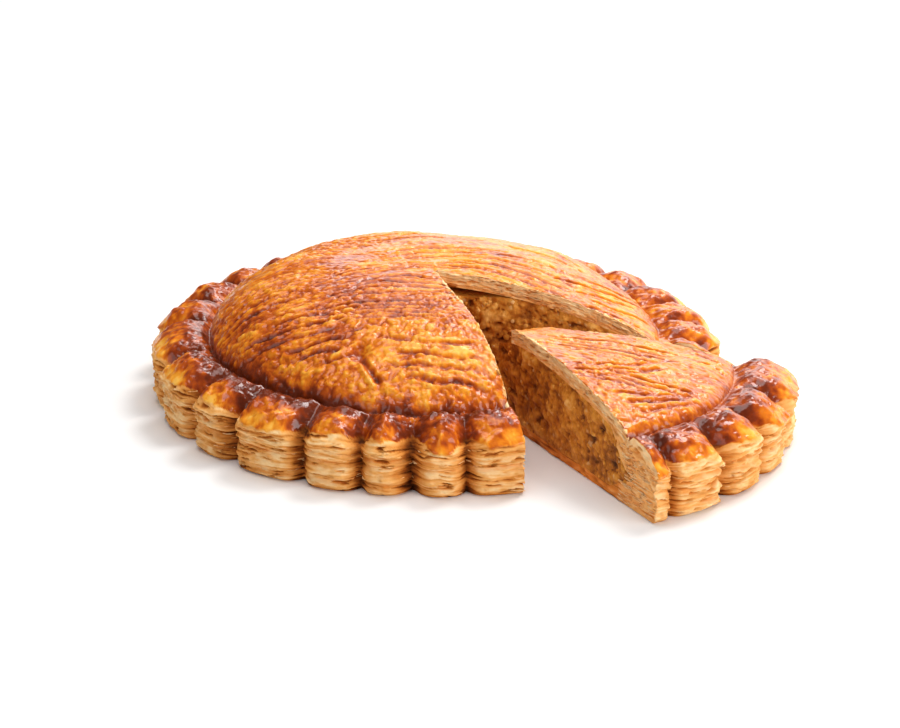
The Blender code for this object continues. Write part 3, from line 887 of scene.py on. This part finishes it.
def lid_cut(portion, surface, border, below, column):
    """One cut face of the lid, between its skin's border and its underside: returns its inmost line."""
    skin, flank = border[:len(border) - SIDE_ROWS], border[len(border) - SIDE_ROWS - 1:]
    below = np.concatenate([below, flank[-1:]])
    run, run_under = portion.run(skin), portion.run(below)
    share, share_under = (((line - line[0]) / (line[-1] - line[0])) for line in (run, run_under))
    low = resampled(share, share_under, below)
    low[0], low[-1] = below[0], below[-1]
    sheet = follow_edge(sheet_between(skin, low, SIDE_ROWS + 1), flank, run)
    depth = skin[:, None, 2] - sheet[..., 2]
    stand, shade = crust_tone(depth, run[:, None], sheet[..., 2], column)
    outward = portion.across(column) * (-1.0 if column == 0 else 1.0)
    sheet = sheet + outward * (stand * edged(stand.shape))[..., None]
    sheet[-1] = flank
    sheet[:, 0] = skin
    surface.grid(surface.add(sheet, masked(shade, cut=1.0)), flip=column == 0)
    return sheet[0]


def lid_tip(portion, surface, top_row, start_line, end_line):
    """The ragged face where the slice's lid lost its tip."""
    heading = np.linspace(portion.start, portion.end, len(top_row))
    inner = portion.inner_radius(heading)
    under = portion.place(heading, inner, portion.lid_under(inner, heading))
    face = np.swapaxes(sheet_between(top_row, under, len(start_line)), 0, 1)
    face[:, 0], face[:, -1] = start_line, end_line
    down = np.linspace(0.0, 1.0, len(start_line))[:, None]
    run = np.arange(len(top_row))[None, :] * 0.0004
    stand, shade = crust_tone(down * LID_THICKNESS, run, 0.0 * run, TIP_SEED)
    turn = np.radians(heading + portion.turn)
    outward = np.stack([np.cos(turn), np.sin(turn), 0 * turn], -1)
    face = face + outward[None] * (stand * 2.0 * edged(stand.shape))[..., None]
    surface.grid(surface.add(face, masked(shade, cut=1.0)), flip=True)


def lid_piece(portion):
    """The whole lid: skin, flank, cut faces and underside."""
    surface = Surface()
    lines = stroke_lines(*portion.strokes)
    rings, borders = [], []
    for rows, steps in ways(portion):
        heading = np.linspace(portion.start, portion.end, steps + 1)[None, :]
        points, masks = lid_skin(portion, rows[:, None] + 0.0 * heading, heading + 0.0 * rows[:, None], lines)
        numbers = surface.add(points, masks)
        surface.grid(numbers)
        if rings:
            surface.strip(rings[-1], numbers[0])
        else:
            top_row = points[0]
        rings += list(numbers)
        borders.append(points[:, [0, -1]])
    borders = np.concatenate(borders)
    under_points, under = lid_underside(portion, surface, rings[-1])
    if not portion.tip_break:
        plain = masked(0.3, flank=0.0)
        top, low = portion.dome_height(0.0, portion.start), portion.lid_under(0.0, portion.start)
        surface.strip(surface.add(portion.middle(top), plain), rings[0])
        surface.strip(under[-1], surface.add(portion.middle(low), plain))
    ends = [lid_cut(portion, surface, borders[:, side], under_points[::-1, side], side) for side in SIDES]
    if portion.tip_break:
        lid_tip(portion, surface, top_row, *ends)
    return surface.make(portion.name + "_crust")


def base_cut(portion, surface, top, low, flank, column):
    """One cut face of the base, between its upper and lower lines."""
    run_top, run_low = portion.run(top), portion.run(low)
    runs = np.linspace(0.0, 1.0, round(run_top[-1] / FACE_STEP))
    upper, lower = resampled(runs, run_top / run_top[-1], top), resampled(runs, run_low / run_low[-1], low)
    run = runs * run_top[-1]
    sheet = follow_edge(sheet_between(upper, lower, len(flank)), flank, run)
    layer = grain("base layer", run[:, None], sheet[..., 2], 1.5, column)
    rag = grain("base rag", run[:, None], sheet[..., 2], 2.5, column)
    down = np.linspace(0.0, 1.0, len(flank))[None, :]
    inside = smooth(down / 0.06) * smooth((1 - down) / 0.06) * edged(layer.shape, columns=False)
    stand = 0.00035 * layer + 0.00055 * rag
    sheet = sheet + portion.across(column) * (stand * inside)[..., None]
    sheet[-1] = flank
    thin = 1.0 - taper(run, (portion.start, portion.end)[column])
    brown = np.clip(0.30 + 0.28 * thin[:, None] + 0.3 * smooth((-layer - 0.1) / 0.5) + 0.2 * rag, 0.0, 1.0)
    surface.grid(surface.add(sheet, masked(brown, cut=1.0)), flip=column == 0)


def base_piece(portion):
    """The base sheet: its flaky flank, cut faces, foot and top."""
    surface = Surface()
    steps = round((portion.end - portion.start) / HEADING_STEP / 4) * 4
    heading = np.linspace(portion.start, portion.end, steps + 1)[None, :]
    share = np.linspace(1.0, 0.0, round(SEAM_HEIGHT / SIDE_STEP) + 1)[:, None]
    height = seam_height(heading) * share
    shares, offsets = zip(*BASE_SIDE)
    stand, shade = flakes(portion, heading + 0.0 * share, height)
    calm = smooth(share / 0.03) * smooth((1.0 - share) / 0.03)
    reach = portion.edge_radius(heading) + np.interp(share + 0.0 * heading, shares, offsets)
    reach = reach + stand * (0.1 + 0.9 * calm)
    arc = np.radians(heading) * RIM_RADIUS
    foot = smooth((FOOT_HEIGHT - height) / FOOT_HEIGHT) * smooth(0.45 + 0.9 * grain("foot", arc, 0.5, 3.5))
    side_points = portion.place(heading + 0.0 * share, reach, height)
    # The base's flank takes the flakes' painted shade, darker still at the browned foot.
    side = surface.add(side_points, masked(np.clip(shade + 0.45 * foot, 0.0, 1.0)))
    surface.grid(side)

    coarse = np.linspace(portion.start, portion.end, steps // 4 + 1)[None, :]
    last = filling_radius(coarse) + EDGE_CLOSING
    reach_over = CENTRE_HOLE + (last - CENTRE_HOLE) * np.linspace(1.0, 0.0, 40)[:, None]
    over_height = np.where(reach_over >= last, seam_height(coarse), base_over(reach_over, coarse))
    over_points = portion.place(coarse + 0.0 * reach_over, reach_over, over_height)
    over = surface.add(over_points, masked(0.4, cut=1.0))
    surface.grid(over, flip=True)
    surface.strip(side[0], over[0], flip=True)
    foot_reach = CENTRE_HOLE + (filling_radius(coarse) - CENTRE_HOLE) * np.linspace(1.0, 0.0, 8)[:, None]
    under_points = portion.place(coarse + 0.0 * foot_reach, foot_reach, 0.0 * foot_reach)
    under = surface.add(under_points, masked(0.5))
    surface.grid(under)
    surface.strip(side[-1], under[0])
    top, low = portion.middle(BASE_THICKNESS), portion.middle(0.0)
    centre_over = surface.add(top, masked(0.4, cut=1.0))
    centre_under = surface.add(low, masked(0.5))
    surface.strip(over[-1], centre_over, flip=True)
    surface.strip(under[-1], centre_under)
    for column in SIDES:
        upper = np.concatenate([top, over_points[::-1, column], side_points[:1, column]])
        lower = np.concatenate([low, under_points[::-1, column], side_points[-1:, column]])
        base_cut(portion, surface, upper, lower, side_points[:, column], column)
    return surface.make(portion.name + "_foot")


def filling_cut(portion, surface, top, low, column):
    """One crumbly cut face of the filling, with painted shade in its hollows."""
    run = portion.run(top)
    shares = run / run[-1]
    runs = np.linspace(0.0, 1.0, round(run[-1] / FACE_STEP))
    sheet = sheet_between(resampled(runs, shares, top), resampled(runs, shares, low), CRUMB_ROWS)
    along, up = (runs * run[-1])[:, None], sheet[..., 2]
    warp = 0.0007 * grain("crumb warp", along, up, 0.5)
    crumb, own = bumps((along + warp) / 0.0030, (up - warp) / 0.0024, 96 + column)
    small, small_own = bumps((along - warp) / 0.0014, (up + warp) / 0.0012, 97 + column)
    rolling = grain("rolling", along, up, 3.5, column)
    hole = smooth((grain("hole", along, up, 6.5, column) - 0.42) / 0.3)
    stand = portion.coarse * (0.0016 * rolling + 0.0009 * crumb * own - 0.0014 * hole)
    stand = stand + 0.00040 * small * small_own
    down = np.linspace(0.0, 1.0, CRUMB_ROWS)[None, :]
    inside = smooth(down / 0.05) * smooth((1 - down) / 0.05) * smooth(along / 0.002)
    inside = inside * edged(up.shape, columns=False)
    inward = 1.0 if column == 0 else -1.0
    sheet = sheet - portion.across(column) * inward * ((stand - 0.0004) * inside)[..., None]
    # Painted shade: the crumb is darker in its holes, between its crumbs and where it sinks.
    brown = portion.crumb_tone + 0.36 * hole - 0.20 * crumb * own - 0.32 * rolling - 0.10 * small * small_own
    brown = np.clip(brown + 0.10 * (1.0 - crumb), 0.0, 1.0)
    pale = 0.4 * smooth((small_own - 0.97) / 0.02) * smooth((small - 0.45) / 0.2)
    surface.grid(surface.add(sheet, masked(brown, pale, 0.0, 1.0)), flip=column == 0)


def filling_piece(portion):
    """The filling: crumbly on its cut faces, smooth where the lid and base cover it."""
    surface = Surface()
    heading = np.linspace(portion.start, portion.end, portion.filling_steps + 1)[None, :]
    reach = CENTRE_HOLE + (filling_radius(heading) - CENTRE_HOLE) * np.linspace(0.0, 1.0, 90)[:, None]
    hollow = HOLLOW_DEPTH * hump(reach - 0.011, 0.012) * portion.whole
    top_points = portion.place(heading + 0.0 * reach, reach, portion.lid_under(reach, heading) - hollow)
    low_points = portion.place(heading + 0.0 * reach, reach, base_over(reach, heading))
    plain = masked(0.4, flank=0.0)
    over = surface.add(top_points, plain)
    under = surface.add(low_points, plain)
    surface.grid(over)
    surface.grid(under, flip=True)
    wall = np.swapaxes(sheet_between(top_points[-1], low_points[-1], 6), 0, 1)
    surface.grid(surface.add(wall, plain))
    peak = portion.middle(float(portion.lid_under(0.0, portion.start)) - PEAK_HOLLOW * portion.whole)
    root = portion.middle(BASE_THICKNESS)
    surface.strip(surface.add(peak, plain), over[0])
    surface.strip(under[0], surface.add(root, plain))
    for column in SIDES:
        top = np.concatenate([peak, top_points[:, column]])
        low = np.concatenate([root, low_points[:, column]])
        filling_cut(portion, surface, top, low, column)
    return surface.make(portion.name + "_crumb")


def flake_shape():
    """A thin curled plate with a ragged outline, about one across: its points and faces."""
    count = 7
    turn = np.arange(count) * math.tau / count
    outline = 1.0 + 0.22 * np.sin(3.0 * turn + 0.7)
    ring = np.stack([0.5 * outline * np.cos(turn), 0.5 * outline * np.sin(turn)], -1)
    flat = np.append(ring, [[0.0, 0.0]], 0)
    curl = -0.5 * flat[:, 1] ** 2 - 0.25 * flat[:, 0] ** 2
    faces = []
    for number in range(count):
        after = (number + 1) % count
        faces.append((number, after, count))
        faces.append((after + count + 1, number + count + 1, 2 * count + 1))
        faces.append((number + count + 1, after + count + 1, after, number))
    return np.concatenate([np.column_stack([flat, curl + half]) for half in (0.06, -0.06)]), faces


def lump_shape():
    """A ball of 80 triangles, one in radius: its points and faces."""
    ball = bmesh.new()
    bmesh.ops.create_icosphere(ball, subdivisions=2, radius=1.0)
    ball.verts.ensure_lookup_table()
    points = np.array([tuple(corner.co) for corner in ball.verts])
    faces = [tuple(corner.index for corner in face.verts) for face in ball.faces]
    ball.free()
    return points, faces


def scattered(name, shape, places, axes, masks, seed):
    """One mesh of many dented copies of a shape, each with its own place, three scaled axes and masks."""
    points, faces = shape
    dents = np.random.default_rng(seed).uniform(0.80, 1.20, (len(places), len(points), 1))
    spread = places[:, None] + np.einsum("kc,ncd->nkd", points, axes) * dents
    starts = np.arange(len(places)) * len(points)
    copied = [tuple(corner + start for corner in face) for start in starts.tolist() for face in faces]
    return make_piece(name, spread.reshape(-1, 3), copied, np.repeat(masks, len(points), 0))


def surface_points(piece):
    """A piece's points, normals and masks as arrays."""
    mesh = piece.data
    count = len(mesh.vertices)
    points, normals, masks = np.zeros(count * 3), np.zeros(count * 3), np.zeros((count, len(MASKS)))
    mesh.vertices.foreach_get("co", points)
    mesh.vertex_normals.foreach_get("vector", normals)
    for number, mask in enumerate(MASKS):
        values = np.zeros(count)
        mesh.attributes[mask].data.foreach_get("value", values)
        masks[:, number] = values
    return points.reshape(-1, 3), normals.reshape(-1, 3), masks


def turned_axes(along, out, tilt):
    """For each place, axes along and out of the surface, tipped by the tilt, and the one across both."""
    along = along / np.linalg.norm(along, axis=1, keepdims=True)
    across = np.cross(along, out)
    across = across / np.linalg.norm(across, axis=1, keepdims=True)
    out = np.cross(across, along)
    tipped = out * np.cos(tilt)[:, None] + across * np.sin(tilt)[:, None]
    return along, tipped, np.cross(along, tipped)


class Leaves:
    """Collects loose leaves: places, ways along and out of the surface, sizes, tones and whether cut."""

    def __init__(self, source):
        self.source = source
        self.rows = []

    def add(self, places, along, out, sizes, kept, darkest, more=0.0, cut=1.0):
        """Keep some of the places, with random sizes within two ranges and a random tone."""
        count = len(places)
        along, out = np.broadcast_to(along, (count, 3)), np.broadcast_to(out, (count, 3))
        long, wide = (self.source.uniform(*size, count) for size in sizes)
        tones = self.source.uniform(*darkest, count) + more
        row = np.column_stack([places, along, out, long, wide, tones, np.full(count, cut)])
        self.rows.append(row[kept])


def flakes_piece(portion, crust, foot):
    """Loose leaves of pastry that stand off the flaky edge and off the cut lid and base."""
    source = np.random.default_rng(300 + len(portion.name))
    leaves = Leaves(source)
    for piece, count in zip((crust, foot), portion.edge_leaves):
        points, normals, masks = surface_points(piece)
        on_edge = (masks[:, 2] > 0.7) & (masks[:, 3] < 0.5) & (np.abs(normals[:, 2]) < 0.6)
        chosen = source.choice(np.flatnonzero(on_edge & (points[:, 2] > 0.0010)), count, replace=False)
        level = normals[chosen] * (1.0, 1.0, 0.0)
        leaves.add(points[chosen] - 0.0007 * normals[chosen], np.cross(level, (0.0, 0.0, 1.0)), level,
                   EDGE_LEAF, slice(None), (0.02, 0.28), cut=0.0)
    for column, side in zip(SIDES, (-1.0, 1.0)):
        angle = (portion.start, portion.end)[column]
        turn = math.radians(angle + portion.turn)
        outward = side * portion.across(column)
        groove = groove_radius(np.array([angle]))[0]
        inner = portion.inner_radius(np.array([angle]))[0] + 0.001
        reach = inner + (groove - inner) * source.uniform(0.0, 1.0, LID_LEAVES)
        heading = np.full(LID_LEAVES, angle)
        depth = LID_THICKNESS * source.uniform(0.02, 0.92, LID_LEAVES) ** 1.3
        slope = (portion.dome_height(reach, heading) - portion.dome_height(reach - 0.001, heading)) / 0.001
        level = [np.full(LID_LEAVES, math.cos(turn)), np.full(LID_LEAVES, math.sin(turn))]
        radial = np.stack(level + [slope], -1)
        places = portion.place(heading, reach, portion.dome_height(reach, heading) - depth) - 0.0002 * outward
        deeper = 0.15 * (depth > 0.7 * LID_THICKNESS)
        leaves.add(places, radial, outward, LID_LEAF, slice(None), (0.0, 0.20), deeper)
        edge = portion.edge_radius(np.array([angle]))[0] - 0.0012
        reach = source.uniform(filling_radius(angle) - 0.006, edge, RIM_LEAVES)
        top = np.where(reach > groove, SIDE_TOP + 0.0015, GROOVE_HEIGHT) - 0.001
        height = seam_height(angle) + source.uniform(-1.0, 1.0, RIM_LEAVES) * (top - SEAM_HEIGHT)
        height = np.clip(height, 0.0006, top)
        heading = np.full(RIM_LEAVES, angle)
        kept = np.abs(height - seam_height(angle)) > 0.004 * (1.0 - taper(reach, heading)) + 0.0002
        places = portion.place(heading, reach, height) - 0.0002 * outward
        leaves.add(places, (math.cos(turn), math.sin(turn), 0.0), outward, RIM_LEAF, kept, (0.0, 0.28))
    rows = np.concatenate(leaves.rows)
    tilt = source.uniform(-0.5, 0.35, len(rows))
    along, out, up = turned_axes(rows[:, 3:6], rows[:, 6:9], tilt)
    axes = np.stack([along * rows[:, 9:10], out * rows[:, 10:11], up * LEAF_THICKNESS], 1)
    masks = masked(rows[:, 11], cut=rows[:, 12])
    return scattered(portion.name + "_flakes", flake_shape(), rows[:, :3], axes, masks, 310)


def lumps_piece(portion, crumb):
    """Lumps of almond that stand out of the cut filling."""
    source = np.random.default_rng(320 + len(portion.name))
    points, normals, masks = surface_points(crumb)
    count = portion.lumps
    chosen = source.choice(np.flatnonzero(masks[:, 3] > 0.5), count, replace=False)
    size = (0.0004 + 0.0008 * source.uniform(0.0, 1.0, count) ** 2.2) * (1.0 if portion.whole else 0.8)
    places = points[chosen] - normals[chosen] * (0.45 * size)[:, None]
    along = np.cross(normals[chosen], source.normal(size=(count, 3)))
    along, out, up = turned_axes(along, normals[chosen], source.uniform(-0.5, 0.5, count))
    widths = size[:, None] * source.uniform(0.8, 1.4, (count, 3))
    axes = np.stack([along * widths[:, :1], out * widths[:, 1:2] * 0.8, up * widths[:, 2:]], 1)
    tones = np.clip(masks[chosen, 0] - source.uniform(-0.05, 0.25, count), 0.0, 1.0)
    pale = (source.uniform(0.0, 1.0, count) > 0.985) * 0.5
    return scattered(portion.name + "_lumps", lump_shape(), places, axes, masked(tones, pale, 0.0, 1.0), 330)


class Nodes:
    """Short ways to add and join shader nodes."""

    def __init__(self, name):
        self.material = bpy.data.materials.new(name)
        self.material.use_nodes = True
        self.tree = self.material.node_tree
        self.shader = self.tree.nodes["Principled BSDF"]
        self.set("Metallic", 0.0)

    def feed(self, socket, value):
        """Join an output to a socket, or set the socket's own value."""
        if isinstance(value, bpy.types.NodeSocket):
            self.tree.links.new(value, socket)
        else:
            socket.default_value = value

    def set(self, name, value):
        """Join or set one of the shader's inputs."""
        self.feed(self.shader.inputs[name], value)

    def add(self, kind, *values, **inputs):
        """A node with its first inputs and its named ones joined or set."""
        node = self.tree.nodes.new(kind)
        for socket, value in zip(node.inputs, values):
            self.feed(socket, value)
        for name, value in inputs.items():
            self.feed(node.inputs[name], value)
        return node

    def mask(self, name):
        """One of the mesh's masks."""
        node = self.add("ShaderNodeAttribute")
        node.attribute_name = name
        return node.outputs["Fac"]

    def grain(self, size, detail=3.0, rough=0.55, stretch=(1, 1, 1)):
        """Noise from 0 to 1 over the object's own space, with features about 1/size across."""
        place = self.add("ShaderNodeTexCoord").outputs["Object"]
        place = self.add("ShaderNodeMapping", Vector=place, Scale=stretch).outputs["Vector"]
        node = self.add("ShaderNodeTexNoise", Vector=place, Scale=size, Detail=detail, Roughness=rough)
        return node.outputs["Fac"]

    def math(self, kind, a, b, clamp=False):
        """One sum."""
        node = self.add("ShaderNodeMath", a, b)
        node.operation = kind
        node.use_clamp = clamp
        return node.outputs[0]

    def vary(self, value, grain, amount, clamp=False):
        """A value with noise about its middle added."""
        return self.scaled(value, self.math("SUBTRACT", grain, 0.5), amount, clamp)

    def scaled(self, start, value, amount, clamp=False):
        """A start with so much of a value added."""
        return self.math("ADD", start, self.math("MULTIPLY", value, amount), clamp)

    def ramp(self, factor, stops):
        """Colours along a factor."""
        node = self.add("ShaderNodeValToRGB", factor)
        band = node.color_ramp
        while len(band.elements) < len(stops):
            band.elements.new(0.5)
        for element, (place, colour) in zip(band.elements, stops):
            element.position = place
            element.color = (*colour, 1.0)
        return node.outputs["Color"]

    def mix(self, factor, a, b):
        """Blend two colours."""
        node = self.add("ShaderNodeMix")
        node.data_type = "RGBA"
        self.feed(node.inputs["Factor"], factor)
        self.feed(node.inputs[6], a)
        self.feed(node.inputs[7], b)
        return node.outputs[2]

    def bump(self, height, strength, distance, **more):
        """Fine relief."""
        node = self.add("ShaderNodeBump", Height=height, Strength=strength, Distance=distance, **more)
        return node.outputs["Normal"]


def crust_material():
    """Glazed on top, pale and flaky on flanks and cuts."""
    made = Nodes("glazed_pastry")
    # The brown mask includes painted shade as well as browning.
    brown, flank, cut = made.mask("brown"), made.mask("flank"), made.mask("cut")
    mottle = made.grain(330.0, 4.0, 0.6)
    tone = made.vary(made.vary(brown, mottle, 0.24), made.grain(95.0, 3.0, 0.5), 0.22, True)
    glaze = made.ramp(tone, (
        (0.02, (0.91, 0.48, 0.080)), (0.22, (0.86, 0.33, 0.024)), (0.42, (0.68, 0.168, 0.006)),
        (0.60, (0.44, 0.070, 0.003)), (0.78, (0.24, 0.030, 0.002)), (1.0, (0.095, 0.014, 0.003)),
    ))
    layers = made.grain(1300.0, 3.0, 0.6, (0.2, 0.2, 1.0))
    shade = made.vary(brown, layers, made.math("MULTIPLY", made.math("SUBTRACT", 1.0, cut), 0.22))
    shade = made.vary(shade, made.grain(420.0, 3.0, 0.6), 0.30, True)
    flaky = made.ramp(shade, (
        (0.0, (0.93, 0.62, 0.30)), (0.20, (0.84, 0.41, 0.120)), (0.45, (0.66, 0.240, 0.042)),
        (0.70, (0.36, 0.095, 0.011)), (1.0, (0.09, 0.020, 0.004)),
    ))
    inner = made.ramp(shade, (
        (0.0, (0.98, 0.70, 0.38)), (0.25, (0.95, 0.47, 0.150)), (0.55, (0.74, 0.23, 0.036)),
        (1.0, (0.24, 0.06, 0.008)),
    ))
    flaky = made.mix(made.math("MULTIPLY", cut, 0.85), flaky, inner)
    made.set("Base Color", made.mix(flank, glaze, flaky))
    made.set("Roughness", made.vary(made.scaled(0.34, flank, 0.42), mottle, 0.30, True))
    glazed = made.math("SUBTRACT", 1.0, flank)
    made.set("Coat Weight", made.math("MULTIPLY", glazed, made.scaled(0.36, tone, 0.34), True))
    made.set("Coat Roughness", 0.05)
    made.set("Specular IOR Level", 0.10)
    normal = made.bump(made.grain(780.0, 4.0, 0.62), 0.45, 0.0006)
    made.set("Normal", made.bump(layers, 0.25, 0.0003, Normal=normal))
    made.set("Coat Normal", made.bump(made.grain(300.0, 1.5, 0.5), 0.45, 0.0008))
    return made.material


def crumb_material():
    """Moist almond filling with darker specks and paler bits."""
    made = Nodes("almond_crumb")
    # The brown mask includes painted shade as well as browning.
    brown, pale = made.mask("brown"), made.mask("pale")
    fine = made.grain(620.0, 4.0, 0.62)
    tone = made.vary(made.vary(brown, fine, 0.60), made.grain(120.0, 3.0, 0.5), 0.35, True)
    colour = made.ramp(tone, (
        (0.0, (0.88, 0.47, 0.12)), (0.28, (0.72, 0.29, 0.034)), (0.50, (0.51, 0.160, 0.011)),
        (0.72, (0.27, 0.075, 0.006)), (1.0, (0.08, 0.022, 0.003)),
    ))
    made.set("Base Color", made.mix(made.math("MULTIPLY", pale, 0.7), colour, (0.82, 0.62, 0.34, 1.0)))
    made.set("Roughness", made.scaled(0.52, fine, 0.30))
    made.set("Specular IOR Level", 0.3)
    made.set("Normal", made.bump(fine, 0.7, 0.0009))
    return made.material


def floor_material():
    """A plain pale table."""
    made = Nodes("pale_table")
    made.set("Base Color", made.ramp(made.grain(6.0, 2.0, 0.5), (
        (0.0, (0.82, 0.815, 0.81)), (1.0, (0.85, 0.845, 0.84)),
    )))
    made.set("Roughness", 0.7)
    made.set("Specular IOR Level", 0.15)
    return made.material


def portions():
    """The round and the slice."""
    return (
        Portion(
            "galette", whole=True, start=CUT_RIGHT, end=360.0 + CUT_LEFT,
            notches=back_notches() + FRONT_NOTCHES, crown=CROWN_HEIGHT, falls=(3.6, 1.8), edge=0.72,
            lean=0.0, droop=0.0, tip_break=0.0, turn=0.0,
            tip=(0.0, 0.0), strokes=(STROKES_ROUND, 61), least_rough=0.27, spotted=1.0, dome_browner=0.0,
            rim_browner=0.0, flank_shade=1.0, coarse=1.0, crumb_tone=0.48, filling_steps=72,
            edge_leaves=(300, 260), lumps=620,
        ),
        Portion(
            "slice", whole=False, start=CUT_LEFT, end=CUT_RIGHT, notches=SLICE_NOTCHES,
            crown=SLICE_CROWN_HEIGHT, falls=(1.9, 1.9), edge=0.62, lean=SLICE_LEAN, droop=TIP_DROOP,
            tip_break=LID_TIP_BREAK,
            turn=SLICE_TURN, tip=SLICE_TIP, strokes=(STROKES_SLICE, 62), least_rough=0.20, spotted=0.6,
            # The slice's flank shade is scaled down, so its flank is painted lighter: painted light where it
            # faces the lamps.
            # The slice's higher crumb tone paints its cut filling darker: painted shade on cut faces turned
            # away from the lamps.
            dome_browner=0.03, rim_browner=0.07, flank_shade=0.72, coarse=0.55, crumb_tone=0.54,
            filling_steps=24, edge_leaves=(70, 60), lumps=460,
        ),
    )


def dress(portion, crust, crumb):
    """Build one portion's pieces, which replace its solids, and its loose flakes and lumps."""
    lid, filling, base = lid_piece(portion), filling_piece(portion), base_piece(portion)
    for piece, node, look, slot in (
        (lid, "_lid", crust, "glazed_crust"),
        (filling, "_filling", crumb, "almond_filling"),
        (base, "_base", crust, "base_crust"),
        (flakes_piece(portion, lid, base), "", crust, "base_crust"),
        (lumps_piece(portion, filling), "", crumb, "almond_filling"),
    ):
        piece.data.materials.append(look)
        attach(piece, "root")
        if node:
            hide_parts(portion.name + node)


def link(name, data):
    """A new object in the scene."""
    made = bpy.data.objects.new(name, data)
    bpy.context.scene.collection.objects.link(made)
    return made


def make_studio():
    """The table, the lights and the soft surroundings."""
    table = bpy.data.meshes.new("table")
    table.from_pydata([(-4, -4, 0), (4, -4, 0), (4, 6, 0), (-4, 6, 0)], [], [(0, 1, 2, 3)])
    table.materials.append(floor_material())
    floor = link("table", table)
    floor.location.z = -0.0002
    for name, place, wide, high, power in LIGHTS:
        light = bpy.data.lights.new(name, "AREA")
        light.shape = "RECTANGLE"
        light.size, light.size_y, light.energy = wide, high, power
        lamp = link(name, light)
        lamp.location = place
        lamp.rotation_euler = (Vector(place) - Vector(LIT_POINT)).to_track_quat("Z", "Y").to_euler()
    world = bpy.data.worlds.new("studio")
    bpy.context.scene.world = world
    world.use_nodes = True
    background = world.node_tree.nodes["Background"]
    background.inputs["Color"].default_value = (1.0, 1.0, 1.0, 1.0)
    background.inputs["Strength"].default_value = 0.10


def make_camera():
    """The camera at the photo's angle."""
    view = bpy.data.cameras.new("camera")
    view.sensor_fit = "HORIZONTAL"
    view.sensor_width = 36.0
    view.lens = LENS
    camera = link("camera", view)
    camera.location = CAMERA_PLACE
    camera.rotation_euler = (math.radians(90.0 - CAMERA_DOWN), 0.0, 0.0)
    bpy.context.scene.camera = camera
    bpy.context.scene.view_settings.view_transform = "Standard"


def main():
    """Build the galette, its table, lights and camera."""
    round_part, slice_part = portions()
    crust, crumb = crust_material(), crumb_material()
    for portion in (round_part, slice_part):
        dress(portion, crust, crumb)
    make_studio()
    make_camera()


main()
